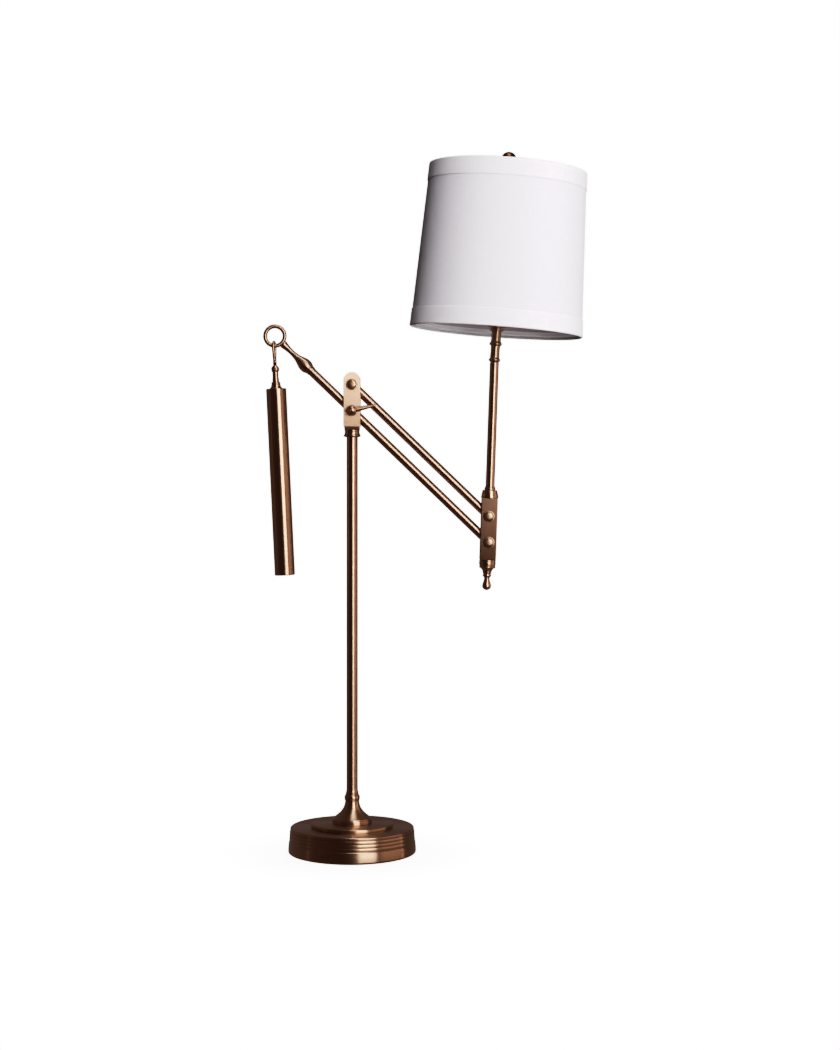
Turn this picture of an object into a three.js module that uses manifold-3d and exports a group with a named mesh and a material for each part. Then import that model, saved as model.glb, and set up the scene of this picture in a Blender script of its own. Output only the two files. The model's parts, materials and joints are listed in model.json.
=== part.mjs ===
// A balance-arm desk lamp: a weighted round base, a column with a swivelling yoke, two parallel arms,
// a hanging counterweight on the short end and a drum shade on the long end.
// Millimetres, +Z up, the shade towards +X. The origin is the centre of the felt's underside.
import * as THREE from 'three';
import { mergeVertices } from 'three/addons/utils/BufferGeometryUtils.js';
import Module from 'manifold-3d';

const wasm = await Module();
wasm.setup();

// ---------- driving dimensions ----------

const SEAT = 0.1; // gap between pieces stacked on each other
const GAP = 0.3; // gap between pieces that slide or turn
const DEGREE = Math.PI / 180;

const FINE = 44; // sides of the shade
const ROUND = 32; // sides of the base
const TURNED = 16; // sides of turned pieces
const SMALL = 12; // sides of pins and tubes
const WIRE = 6; // sides of wires

const BASE_RADIUS = 75.2;
const BASE_TOP_RADIUS = 72.8;
const BASE_HEIGHT = 31;
const BASE_WALL = 1.5;
const FELT_HEIGHT = 3;
const WEIGHT_BOTTOM = 13;
const STEP_RADIUS = 48.5;
const STEP_HEIGHT = 4.5;
const FOOT_RADIUS = 23.4;
const FOOT_TOP = 69.8;

const NIPPLE_RADIUS = 4.9;
const NIPPLE_BORE = 3.2;
const NIPPLE_BOTTOM = 17.5;
const NIPPLE_TOP = 84;
const LEAD_RADIUS = 2;
const LEAD_HEIGHT = 8.3; // height of the lead where it crosses the base

const COLUMN_RADIUS = 6.5;
const COLUMN_BORE = 5.3;
const COLLAR_BOTTOM = 490;
const COLLAR_TOP = 498.5;

const LOWER_PIVOT_HEIGHT = 521.3;
const PIVOT_SPACING = 30.7;
const UPPER_PIVOT_HEIGHT = LOWER_PIVOT_HEIGHT + PIVOT_SPACING;
const YOKE_SHOULDER = 502.4;
const YOKE_TOP = 566.2;
const YOKE_WIDTH = 19.8;
const CHEEK_INNER = 6.4; // half the gap between the cheeks
const CHEEK_THICKNESS = 3;
const CHEEK_OUTER = CHEEK_INNER + CHEEK_THICKNESS;

const PIN_RADIUS = 3;
const PIN_HOLE = PIN_RADIUS + GAP;
const KNOB_RADIUS = 5.8;
const KNOB_HEIGHT = 5;

const ARM_SLOPE = 43.95 * DEGREE; // below the horizontal, towards the shade
const ARM_LENGTH = 223.45; // pivot to pivot
const TAIL_LENGTH = 126.6; // pivot to the centre of the end ring
const ARM_RADIUS = 5;
const ARM_BORE = 4.2;
const EYE_RADIUS = 7;
const EYE_HALF_WIDTH = CHEEK_INNER - GAP;
const SPIGOT_RADIUS = 3.9;
const SPIGOT_LENGTH = 14;
const LEAD_POCKET = 2.5;
const OPEN_HOLE = PIN_RADIUS + 0.8; // the far upper hole, the linkage's one loose pivot

const RING_RADIUS = 11.5;
const RING_WIRE = 2.3;

const WEIGHT_LEAN = -2.7 * DEGREE;
const BEAD_POSITION = new THREE.Vector3(-90.8, 0, 570.2);
const BEAD_RADIUS = 4.9;
const LINK_WIRE = 1.6;
const LINK_HALF_WIDTH = 5;
const LINK_HEIGHT = 31.9; // bead centre to the centre line of the link's crown
const LINK_YAW = -8 * DEGREE; // the eye is bent round on its tang
const LINK_SHANK = 2;
const TANG_THICKNESS = 3.4;
const HINGE_PIN = 1;
const CYLINDER_RADIUS = 11.85;
const CYLINDER_TOP = -23.1;
const CYLINDER_LENGTH = 220;

const LEVER_ANGLE = 12 * DEGREE;
const LEVER_LENGTH = 28.5;
const LEVER_DEPTH = 14.6; // distance of the lever's centre line in front of the arms

const STEM_LEAN = 2 * DEGREE;
const BRACKET_WIDTH = 18.9;
const BRACKET_HALF_HEIGHT = 36.35;
const STEM_RADIUS = 5.2;
const STEM_BOTTOM = 50.9;
const HEAD_HEIGHT = 199.56; // bracket centre to the first bead of the neck, along the stem
const HEAD_LEAN = 2.3 * DEGREE; // further lean of the lampholder on the stem

const SHADE_BOTTOM = 33; // these heights are along the lampholder's axis, from its first bead
const SHADE_TOP = 226.2;
const SHADE_BOTTOM_RADIUS = 102.1;
const SHADE_TOP_RADIUS = 93.2;
const SHADE_SHIFT = -0.8;
const TRIM_STAND = 0.8;
const TRIM_THICKNESS = 0.55;
const TRIM_HEIGHT = 20.5;
const FABRIC_THICKNESS = 1.2;
const SHADE_WIRE = 1.3;
const HUB_HEIGHT = 215;
const HUB_THICKNESS = 2.5;
const HARP_WIRE = 1.75;
const HARP_TOP = 212;
const SADDLE_HEIGHT = 42.3;
const SADDLE_REACH = 28;
const SADDLE_SHEET = 1.3;
const SOCKET_RADIUS = 16.6;
const SOCKET_WALL = 1.2;
const SOCKET_SEAM = 56;
const SOCKET_TOP = 94;
const KEY_HEIGHT = 62;

// ---------- materials ----------

function finish(color, roughness, metalness) {
  return new THREE.MeshStandardMaterial({ color, roughness, metalness });
}

const copper = finish(0x9a6a4c, 0.32, 1);
const darkBronze = finish(0x4a3226, 0.35, 1);
const iron = finish(0x3b3b3c, 0.8, 0.6);
const steel = finish(0xb9bcc0, 0.35, 1);
const felt = finish(0x1f1d1c, 1, 0);
const linen = finish(0xf1eeea, 0.95, 0);
const whiteWire = finish(0xe8e6e1, 0.5, 0.1);
const blackPlastic = finish(0x161616, 0.5, 0);
const leadJacket = finish(0x2b2420, 0.6, 0);
const bulbWhite = finish(0xf4f2ec, 0.3, 0);

// ---------- geometry helpers ----------

// A turned solid about Z. The profile is [radius, height] pairs that go up the outside.
function turned(profile, sides = TURNED) {
  const points = profile.map(([radius, height]) => new THREE.Vector2(radius, height));
  return new THREE.LatheGeometry(points, sides).rotateX(Math.PI / 2);
}

function ring(outer, inner, bottom, top, sides = TURNED) {
  return turned([[inner, bottom], [outer, bottom], [outer, top], [inner, top], [inner, bottom]], sides);
}

function rod(radius, bottom, top, sides = SMALL) {
  return turned([[0, bottom], [radius, bottom], [radius, top], [0, top]], sides);
}

// Points on an arc of a profile, with the angles measured from the outward direction.
function arc(centreRadius, centreHeight, radius, from, to, steps) {
  return Array.from({ length: steps + 1 }, (_, i) => {
    const angle = (from + ((to - from) * i) / steps) * DEGREE;
    return [centreRadius + radius * Math.cos(angle), centreHeight + radius * Math.sin(angle)];
  });
}

// Points on a smooth curve through a few profile points.
function flow(through, steps) {
  const curve = new THREE.SplineCurve(through.map(([radius, height]) => new THREE.Vector2(radius, height)));
  return curve.getPoints(steps).map((point) => [point.x, point.y]);
}

function towardsX(geometry) {
  return geometry.rotateY(Math.PI / 2);
}

function towardsFront(geometry) {
  return geometry.rotateX(Math.PI / 2);
}

function towardsBack(geometry) {
  return geometry.rotateX(-Math.PI / 2);
}

function circle(radius, sides) {
  return new THREE.Shape().setFromPoints(
    Array.from({ length: sides }, (_, i) => {
      const angle = (2 * Math.PI * i) / sides;
      return new THREE.Vector2(radius * Math.cos(angle), radius * Math.sin(angle));
    }),
  );
}

// A round wire through a list of points.
function wire(points, radius, steps) {
  const path = new THREE.CatmullRomCurve3(points, false, 'centripetal');
  return new THREE.ExtrudeGeometry(circle(radius, WIRE), { steps, extrudePath: path, bevelEnabled: false });
}

function solid(geometry) {
  const flat = geometry.index ? geometry.toNonIndexed() : geometry.clone();
  flat.deleteAttribute('normal');
  flat.deleteAttribute('uv');
  const merged = mergeVertices(flat, 1e-3);
  return new wasm.Manifold(
    new wasm.Mesh({
      numProp: 3,
      vertProperties: merged.attributes.position.array,
      triVerts: new Uint32Array(merged.index.array),
    }),
  );
}

function geometryOf(manifold) {
  const mesh = manifold.getMesh();
  const geometry = new THREE.BufferGeometry();
  geometry.setAttribute('position', new THREE.BufferAttribute(new Float32Array(mesh.vertProperties), 3));
  geometry.setIndex(new THREE.BufferAttribute(mesh.triVerts, 1));
  geometry.computeVertexNormals();
  return geometry;
}

function joined(...pieces) {
  return geometryOf(pieces.map(solid).reduce((whole, piece) => whole.add(piece)));
}

function cut(body, ...tools) {
  return geometryOf(tools.map(solid).reduce((whole, tool) => whole.subtract(tool), solid(body)));
}

function box(width, depth, bottom, top) {
  return new THREE.BoxGeometry(width, depth, top - bottom).translate(0, 0, (bottom + top) / 2);
}

// A plate parallel to the arms' plane, from its outline in X and Z.
function plate(outline, near, far) {
  const geometry = new THREE.ExtrudeGeometry(outline, { depth: far - near, bevelEnabled: false });
  return geometry.rotateX(Math.PI / 2).translate(0, far, 0);
}

function boltHole(x, height) {
  return towardsFront(rod(PIN_HOLE, -CHEEK_OUTER - 1, CHEEK_OUTER + 1)).translate(x, 0, height);
}

function place(parent, name, geometry, material) {
  const mesh = new THREE.Mesh(geometry, material);
  mesh.name = name;
  parent.add(mesh);
}

function frameAt(parent, x, z, turn) {
  const frame = new THREE.Group();
  frame.position.set(x, 0, z);
  frame.rotation.y = turn;
  parent.add(frame);
  return frame;
}

// ---------- base and column ----------

function baseShell() {
  const outside = [
    [BASE_RADIUS - 3.9, 0.8],
    ...arc(BASE_RADIUS - 2.5, 3.3, 2.5, -90, 0, 2),
    ...flow([[BASE_RADIUS - 0.2, 8], [74.1, 14.5], [73.2, 19], [BASE_TOP_RADIUS, 23]], 3),
    ...arc(BASE_TOP_RADIUS - 0.8, BASE_HEIGHT - 0.8, 0.8, 0, 90, 2),
  ];
  const inside = [
    [NIPPLE_RADIUS + GAP, BASE_HEIGHT],
    [NIPPLE_RADIUS + GAP, BASE_HEIGHT - BASE_WALL],
    [BASE_TOP_RADIUS - BASE_WALL, BASE_HEIGHT - BASE_WALL],
    [BASE_TOP_RADIUS - BASE_WALL, 20],
    [BASE_RADIUS - 3.9, 6],
    [BASE_RADIUS - 3.9, 0.8],
  ];
  const shell = turned([...outside, ...inside], ROUND);
  const cordHole = towardsBack(rod(5.3, BASE_RADIUS - 10, BASE_RADIUS + 5)).translate(0, 0, LEAD_HEIGHT);
  return cut(shell, cordHole);
}

function baseWeight() {
  const top = BASE_HEIGHT - BASE_WALL - GAP;
  const rim = 70;
  const recess = 25;
  return turned(
    [
      [recess, WEIGHT_BOTTOM],
      [rim, WEIGHT_BOTTOM],
      [rim, top - 2],
      [rim - 2, top],
      [NIPPLE_RADIUS + GAP, top],
      [NIPPLE_RADIUS + GAP, top - 5],
      [recess, top - 5],
      [recess, WEIGHT_BOTTOM],
    ],
    ROUND,
  );
}

function stepDisc() {
  const bottom = BASE_HEIGHT + SEAT;
  const top = BASE_HEIGHT + STEP_HEIGHT;
  const hole = NIPPLE_RADIUS + GAP;
  return turned(
    [
      [hole, bottom],
      [STEP_RADIUS, bottom],
      ...arc(STEP_RADIUS - 1.5, top - 1.5, 1.5, 0, 90, 2),
      [hole, top],
      [hole, bottom],
    ],
    ROUND,
  );
}

function columnFoot() {
  const bottom = BASE_HEIGHT + STEP_HEIGHT + SEAT;
  const hole = NIPPLE_RADIUS + GAP;
  return turned([
    [hole, bottom],
    [FOOT_RADIUS, bottom],
    [FOOT_RADIUS, 39],
    ...flow([[22.4, 40.4], [18.6, 43.9], [11.6, 50.4], [8.3, 57.4], [8.1, 60.4]], 7),
    ...flow([[8.6, 62.4], [8.9, 65.1], [8.3, 67.8], [7.2, FOOT_TOP]], 4),
    [hole, FOOT_TOP],
    [hole, bottom],
  ]);
}

function nippleNut() {
  const hexagon = circle(9.2, 6);
  hexagon.holes.push(circle(NIPPLE_RADIUS + GAP, SMALL));
  const nut = new THREE.ExtrudeGeometry(hexagon, { depth: 5.4, bevelEnabled: false });
  return nut.translate(0, 0, 18.4);
}

function cordBushing() {
  const wall = BASE_RADIUS + GAP;
  return towardsBack(
    turned(
      [
        [2.9, 70.4],
        [5, 70.4],
        [5, wall],
        [7, wall],
        [7, wall + 1.2],
        [4.6, wall + 2.4],
        [2.9, wall + 2.4],
        [2.9, 70.4],
      ],
      SMALL,
    ),
  ).translate(0, 0, LEAD_HEIGHT);
}

function columnLead() {
  const bend = 11;
  const turn = Array.from({ length: 5 }, (_, i) => {
    const angle = (i * Math.PI) / 8;
    return new THREE.Vector3(0, bend - bend * Math.sin(angle), LEAD_HEIGHT + bend - bend * Math.cos(angle));
  });
  const start = new THREE.Vector3(0, BASE_RADIUS - 2, LEAD_HEIGHT);
  const middle = new THREE.Vector3(0, BASE_RADIUS / 2, LEAD_HEIGHT);
  const rise = rod(LEAD_RADIUS, LEAD_HEIGHT + bend - 0.5, YOKE_SHOULDER + 2, WIRE);
  return joined(wire([start, middle, ...turn], LEAD_RADIUS, 18), rise);
}

function columnTube() {
  const bottom = FOOT_TOP + SEAT;
  return turned([
    [COLUMN_BORE, bottom],
    [7, bottom],
    [6.7, 74],
    [COLUMN_RADIUS, 78],
    [COLUMN_RADIUS, COLLAR_BOTTOM - SEAT],
    [COLUMN_BORE, COLLAR_BOTTOM - SEAT],
    [COLUMN_BORE, bottom],
  ]);
}

function columnCollar() {
  return turned([
    [COLUMN_BORE, COLLAR_BOTTOM],
    [10, COLLAR_BOTTOM],
    ...flow([[10, 491], [8.9, 493], [8.6, 495], [8.6, 497]], 4),
    [8.9, 497.4],
    [8.9, COLLAR_TOP],
    [COLUMN_BORE, COLLAR_TOP],
    [COLUMN_BORE, COLLAR_BOTTOM],
  ]);
}

function addBase(lamp) {
  place(lamp, 'base_shell', baseShell(), copper);
  place(lamp, 'base_weight', baseWeight(), iron);
  place(lamp, 'felt_pad', rod(BASE_RADIUS - 4.3, 0, FELT_HEIGHT, ROUND), felt);
  place(lamp, 'step_disc', stepDisc(), copper);
  place(lamp, 'column_foot', columnFoot(), copper);
  place(lamp, 'threaded_nipple', ring(NIPPLE_RADIUS, NIPPLE_BORE, NIPPLE_BOTTOM, NIPPLE_TOP, SMALL), steel);
  place(lamp, 'nipple_nut', nippleNut(), steel);
  place(lamp, 'cord_bushing', cordBushing(), blackPlastic);
  place(lamp, 'column_lead', columnLead(), leadJacket);
  place(lamp, 'column_tube', columnTube(), copper);
  place(lamp, 'column_collar', columnCollar(), copper);
}

// ---------- yoke on the column ----------

function headBlock() {
  const bottom = COLLAR_TOP + 0.2;
  const shoulder = YOKE_SHOULDER - SEAT;
  const pieces = [
    box(17.7, 2 * CHEEK_OUTER - 0.4, bottom, shoulder),
    box(10, 2 * (CHEEK_INNER - SEAT), shoulder - 1, 507.2),
    rod(SPIGOT_RADIUS + 1, COLLAR_BOTTOM - 20, bottom + 1),
  ];
  return cut(joined(...pieces), rod(3, COLLAR_BOTTOM - 21, 508));
}

function cheekOutline() {
  const half = YOKE_WIDTH / 2;
  const outline = new THREE.Shape();
  outline.moveTo(-half, YOKE_SHOULDER);
  outline.lineTo(half, YOKE_SHOULDER);
  outline.absarc(0, YOKE_TOP - half, half, 0, Math.PI, false);
  return outline;
}

function cheek(near) {
  const blank = plate(cheekOutline(), near, near + CHEEK_THICKNESS);
  return cut(blank, boltHole(0, LOWER_PIVOT_HEIGHT), boltHole(0, UPPER_PIVOT_HEIGHT));
}

// A pin with a domed head, head towards the front. The flange under the dome stands for its washer.
function domeBolt(shankEnd) {
  const seat = CHEEK_OUTER + GAP;
  return towardsFront(
    turned(
      [
        [0, shankEnd],
        [PIN_RADIUS, shankEnd],
        [PIN_RADIUS, seat],
        [KNOB_RADIUS + 0.7, seat],
        [KNOB_RADIUS + 0.7, seat + 0.9],
        ...flow([[KNOB_RADIUS, seat + 1], [5.2, seat + 3.2], [3.2, seat + 4.6], [0, seat + KNOB_HEIGHT]], 3),
      ],
      SMALL,
    ),
  );
}

function capNut() {
  const seat = CHEEK_OUTER + GAP;
  return towardsBack(
    turned(
      [
        [0, seat + 3],
        [PIN_HOLE, seat + 3],
        [PIN_HOLE, seat],
        [KNOB_RADIUS + 0.7, seat],
        [KNOB_RADIUS + 0.7, seat + 0.9],
        ...flow([[KNOB_RADIUS, seat + 1], [5.2, seat + 3.2], [3.2, seat + 4.6], [0, seat + KNOB_HEIGHT]], 3),
      ],
      SMALL,
    ),
  );
}

function lockLever() {
  const back = CHEEK_OUTER + 0.9 + 2 * GAP;
  const boss = turned(
    [
      [0, LEVER_DEPTH],
      [PIN_HOLE, LEVER_DEPTH],
      [PIN_HOLE, back],
      [4.4, back],
      ...arc(0, LEVER_DEPTH, 5.9, -40, 90, 5),
    ],
    SMALL,
  );
  const tip = arc(0, LEVER_LENGTH - 1.4, 1.4, 20, 90, 3);
  const handle = turned([[0, 4.5], [2.9, 4.5], [2.6, 12], [1.5, 24], ...tip], SMALL);
  return joined(towardsFront(boss), towardsX(handle).translate(0, -LEVER_DEPTH, 0));
}

function addYoke(lamp) {
  const upperShank = -(CHEEK_OUTER + GAP + 2.6);
  place(lamp, 'head_block', headBlock(), darkBronze);
  place(lamp, 'front_cheek', cheek(-CHEEK_OUTER), copper);
  place(lamp, 'rear_cheek', cheek(CHEEK_INNER), copper);
  place(lamp, 'upper_pivot_bolt', domeBolt(upperShank).translate(0, 0, UPPER_PIVOT_HEIGHT), copper);
  place(lamp, 'upper_pivot_nut', capNut().translate(0, 0, UPPER_PIVOT_HEIGHT), copper);
  const lowerBolt = domeBolt(-(LEVER_DEPTH - 0.6)).rotateZ(Math.PI);
  place(lamp, 'lower_pivot_bolt', lowerBolt.translate(0, 0, LOWER_PIVOT_HEIGHT), copper);
  const washer = towardsFront(ring(6.4, PIN_HOLE, CHEEK_OUTER + GAP, CHEEK_OUTER + GAP + 0.9, SMALL));
  place(lamp, 'lever_washer', washer.translate(0, 0, LOWER_PIVOT_HEIGHT), copper);
  const lever = frameAt(lamp, 0, LOWER_PIVOT_HEIGHT, -LEVER_ANGLE);
  place(lever, 'lock_lever', lockLever(), copper);
}

// ---------- arms ----------

// An eye on a pivot pin, with a spigot on one side or both that plugs the arm's tubes.
function armEye(spigots, hole, hollowSide) {
  const barrel = towardsFront(rod(EYE_RADIUS, -EYE_HALF_WIDTH, EYE_HALF_WIDTH, TURNED));
  const plug = () => towardsX(rod(SPIGOT_RADIUS, 4, EYE_RADIUS + SPIGOT_LENGTH));
  const plugs = spigots.map((side) => plug().rotateZ(side < 0 ? Math.PI : 0));
  const bore = towardsFront(rod(hole, -EYE_HALF_WIDTH - 1, EYE_HALF_WIDTH + 1));
  const tools = [bore];
  if (hollowSide !== 0) {
    const pocket = towardsX(rod(LEAD_POCKET, 5, EYE_RADIUS + 1 + SPIGOT_LENGTH));
    tools.push(pocket.rotateZ(hollowSide < 0 ? Math.PI : 0));
  }
  return cut(joined(barrel, ...plugs), ...tools);
}

function armTube(from, to) {
  return towardsX(ring(ARM_RADIUS, ARM_BORE, from, to, SMALL));
}

// The turned end of the tail, hollowed to seat the ring. Heights are minus the distance from its centre.
function armEndPiece() {
  const swell = [[5.7, -57.8], [7.2, -54.2], [7.75, -50.7], [7.1, -45.4], [4.4, -38.3]];
  const neck = [[3, -27.7], [3.4, -21.6], [4.5, -15.8]];
  const profile = [
    [0, -72],
    [SPIGOT_RADIUS, -72],
    [SPIGOT_RADIUS, -60.4],
    [5.5, -60.4],
    ...flow([...swell, ...neck], 12),
    [4.4, -13],
    [0, -13],
  ];
  const seat = new THREE.TorusGeometry(RING_RADIUS, RING_WIRE + SEAT, 12, 48).rotateX(Math.PI / 2);
  const blank = turned(profile, TURNED).rotateY(-Math.PI / 2);
  return cut(blank, seat).translate(-TAIL_LENGTH, 0, 0);
}

function addArms(lamp) {
  const tubeStart = EYE_RADIUS + GAP;
  const tubeEnd = ARM_LENGTH - tubeStart;
  const lower = frameAt(lamp, 0, LOWER_PIVOT_HEIGHT, ARM_SLOPE);
  place(lower, 'lower_arm_hub', armEye([1, -1], PIN_HOLE, 1), copper);
  place(lower, 'lower_arm_tube', armTube(tubeStart, tubeEnd), copper);
  place(lower, 'lower_arm_far_eye', armEye([-1], PIN_HOLE, -1).translate(ARM_LENGTH, 0, 0), copper);
  place(lower, 'lower_arm_tail', armTube(60.4 + SEAT - TAIL_LENGTH, -tubeStart), copper);
  place(lower, 'arm_end_piece', armEndPiece(), copper);
  const torus = new THREE.TorusGeometry(RING_RADIUS, RING_WIRE, 8, 24).rotateX(Math.PI / 2);
  place(lower, 'arm_ring', torus.translate(-TAIL_LENGTH, 0, 0), copper);
  place(lower, 'arm_lead', towardsX(rod(LEAD_RADIUS, 6, ARM_LENGTH - 6, WIRE)), leadJacket);

  const upper = frameAt(lamp, 0, UPPER_PIVOT_HEIGHT, ARM_SLOPE);
  place(upper, 'upper_arm_near_eye', armEye([1], PIN_HOLE, 0), copper);
  place(upper, 'upper_arm_tube', armTube(tubeStart, tubeEnd), copper);
  place(upper, 'upper_arm_far_eye', armEye([-1], OPEN_HOLE, 0).translate(ARM_LENGTH, 0, 0), copper);
}

// ---------- counterweight ----------

// The eye that hangs on the arm's ring, with a flat tang that turns on a pin through the bead.
function hangingLink() {
  const middle = LINK_HEIGHT - LINK_HALF_WIDTH;
  const crown = Array.from({ length: 6 }, (_, i) => {
    const angle = (20 * i - 10) * DEGREE;
    const rise = LINK_HALF_WIDTH * Math.cos(angle);
    return new THREE.Vector3(0, LINK_HALF_WIDTH * Math.sin(angle), middle + rise);
  });
  const leg = [[4.8, 23], [3.9, 18.5], [2.4, 14], [1, 10]].map(([y, z]) => new THREE.Vector3(0, y, z));
  const side = () => wire([...crown, ...leg], LINK_WIRE, 14);
  const eye = joined(side(), side().rotateZ(Math.PI)).rotateZ(LINK_YAW);
  const shank = rod(LINK_SHANK, 7.4, 13);
  const tang = box(2 * LINK_SHANK, TANG_THICKNESS, 0, 9);
  const knuckle = towardsFront(rod(LINK_SHANK, -TANG_THICKNESS / 2, TANG_THICKNESS / 2));
  const pin = towardsFront(rod(HINGE_PIN, 0.4 - BEAD_RADIUS, BEAD_RADIUS - 0.4));
  return joined(eye, shank, tang, knuckle, pin);
}

// The spindle from its plug in the cylinder up to the slotted bead that hangs on the link's pin.
function counterweightSpindle() {
  const profile = [
    [0, CYLINDER_TOP - 4],
    [CYLINDER_RADIUS - 1.3, CYLINDER_TOP - 4],
    [CYLINDER_RADIUS - 1.3, CYLINDER_TOP],
    [7.2, CYLINDER_TOP],
    [7.2, -21.6],
    [5.6, -20.6],
    [5.45, -18.4],
    [4.85, -17.6],
    [4.85, -15.4],
    [3.7, -14.4],
    [3.6, -11.8],
    [3.3, -8.2],
    [3.4, -5.4],
    ...arc(0, 0, BEAD_RADIUS, -50, 90, 5),
  ];
  const pinHole = towardsFront(rod(HINGE_PIN + GAP, -BEAD_RADIUS - 1, BEAD_RADIUS + 1));
  const slot = box(3 * BEAD_RADIUS, TANG_THICKNESS + 2 * GAP, -LINK_SHANK - GAP, BEAD_RADIUS + 1);
  return cut(turned(profile), pinHole, slot);
}

function counterweightSleeve() {
  const bottom = CYLINDER_TOP - CYLINDER_LENGTH;
  const inner = CYLINDER_RADIUS - 1;
  return turned([
    [0, bottom],
    ...arc(CYLINDER_RADIUS - 1.2, bottom + 1.2, 1.2, -90, 0, 2),
    ...arc(CYLINDER_RADIUS - 0.6, CYLINDER_TOP - 0.6, 0.6, 0, 90, 2),
    [inner, CYLINDER_TOP],
    [inner, bottom + 2],
    [0, bottom + 2],
  ]);
}

function addCounterweight(lamp) {
  const hanging = frameAt(lamp, BEAD_POSITION.x, BEAD_POSITION.z, WEIGHT_LEAN);
  const coreBottom = CYLINDER_TOP - CYLINDER_LENGTH + 2 + GAP;
  place(hanging, 'hanging_link', hangingLink(), copper);
  place(hanging, 'counterweight_spindle', counterweightSpindle(), copper);
  place(hanging, 'counterweight_sleeve', counterweightSleeve(), copper);
  const core = rod(CYLINDER_RADIUS - 1.3, coreBottom, CYLINDER_TOP - 4 - GAP, TURNED);
  place(hanging, 'counterweight_core', core, steel);
}

// ---------- far bracket and stem ----------

function bracketOutline() {
  const half = BRACKET_WIDTH / 2;
  const corner = 1;
  const outline = new THREE.Shape();
  outline.moveTo(-half + corner, -BRACKET_HALF_HEIGHT);
  outline.lineTo(half - corner, -BRACKET_HALF_HEIGHT);
  outline.lineTo(half, -BRACKET_HALF_HEIGHT + corner);
  outline.lineTo(half, BRACKET_HALF_HEIGHT - corner);
  outline.lineTo(half - corner, BRACKET_HALF_HEIGHT);
  outline.lineTo(-half + corner, BRACKET_HALF_HEIGHT);
  outline.lineTo(-half, BRACKET_HALF_HEIGHT - corner);
  outline.lineTo(-half, -BRACKET_HALF_HEIGHT + corner);
  return outline;
}

function bracketPlate(near, pivots) {
  const blank = plate(bracketOutline(), near, near + CHEEK_THICKNESS);
  return cut(blank, ...pivots.map(([x, height]) => boltHole(x, height)));
}

function bracketBlock(bottom, top) {
  const blank = box(10, 2 * (CHEEK_INNER - SEAT), bottom, top);
  return cut(blank, rod(SPIGOT_RADIUS + GAP, bottom - 1, top + 1));
}

function stemCollar() {
  const bottom = BRACKET_HALF_HEIGHT + SEAT;
  const top = STEM_BOTTOM - SEAT;
  return turned([
    [LEAD_POCKET, 29.5],
    [SPIGOT_RADIUS, 29.5],
    [SPIGOT_RADIUS, bottom],
    [10.1, bottom],
    [10.15, 37.8],
    [9.3, 42.4],
    [8.8, 45],
    [8.4, 45.6],
    [6.4, 45.9],
    ...flow([[6.5, 47], [6.2, 48.4], [5.4, top]], 4),
    [SPIGOT_RADIUS, top],
    [SPIGOT_RADIUS, STEM_BOTTOM + 8],
    [LEAD_POCKET, STEM_BOTTOM + 8],
    [LEAD_POCKET, 29.5],
  ]);
}

function bottomFinial() {
  return turned([
    ...arc(0, -66.6, 5.3, -90, -10, 4),
    ...flow([[4.9, -64.2], [3.6, -60.6], [3.2, -58.6], [3.5, -56.2]], 4),
    [4.7, -55.4],
    [4.9, -53.6],
    [4.4, -52.4],
    ...flow([[5.2, -50.5], [5.9, -48.4], [7.6, -46.2]], 3),
    [9.5, -45.4],
    [9.6, -44.4],
    [9.3, -43.6],
    [9.75, -41.2],
    [9.75, -BRACKET_HALF_HEIGHT - SEAT],
    [SPIGOT_RADIUS, -BRACKET_HALF_HEIGHT - SEAT],
    [SPIGOT_RADIUS, -28],
    [0, -28],
  ]);
}

function stemLead() {
  const direction = new THREE.Vector3(Math.sin(HEAD_LEAN), 0, Math.cos(HEAD_LEAN));
  const bend = new THREE.Vector3(0, 0, HEAD_HEIGHT);
  const points = [
    new THREE.Vector3(0, 0, 31),
    new THREE.Vector3(0, 0, HEAD_HEIGHT / 2),
    new THREE.Vector3(0, 0, HEAD_HEIGHT - 6),
    bend.clone().addScaledVector(direction, 6),
    bend.clone().addScaledVector(direction, SOCKET_SEAM - 2),
  ];
  return wire(points, LEAD_RADIUS, 12);
}

function addBracket(lamp) {
  const x = ARM_LENGTH * Math.cos(ARM_SLOPE);
  const z = LOWER_PIVOT_HEIGHT + PIVOT_SPACING / 2 - ARM_LENGTH * Math.sin(ARM_SLOPE);
  const bracket = frameAt(lamp, x, z, STEM_LEAN);
  const across = (PIVOT_SPACING / 2) * Math.sin(STEM_LEAN);
  const along = (PIVOT_SPACING / 2) * Math.cos(STEM_LEAN);
  const pivots = [[-across, along], [across, -along]];
  const shank = -(CHEEK_OUTER + GAP + 2.6);
  place(bracket, 'bracket_front_plate', bracketPlate(-CHEEK_OUTER, pivots), copper);
  place(bracket, 'bracket_rear_plate', bracketPlate(CHEEK_INNER, pivots), copper);
  place(bracket, 'bracket_top_block', bracketBlock(29, BRACKET_HALF_HEIGHT - SEAT), darkBronze);
  place(bracket, 'bracket_bottom_block', bracketBlock(-BRACKET_HALF_HEIGHT + SEAT, -27.5), darkBronze);
  ['upper', 'lower'].forEach((level, i) => {
    const [pivotX, pivotZ] = pivots[i];
    place(bracket, `bracket_${level}_bolt`, domeBolt(shank).translate(pivotX, 0, pivotZ), copper);
    place(bracket, `bracket_${level}_nut`, capNut().translate(pivotX, 0, pivotZ), copper);
  });
  place(bracket, 'stem_collar', stemCollar(), copper);
  place(bracket, 'stem_tube', ring(STEM_RADIUS, ARM_BORE, STEM_BOTTOM, HEAD_HEIGHT - 2.9, SMALL), copper);
  place(bracket, 'bottom_finial', bottomFinial(), copper);
  place(bracket, 'stem_lead', stemLead(), leadJacket);
  return bracket;
}

// ---------- lampholder and bulb ----------

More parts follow.
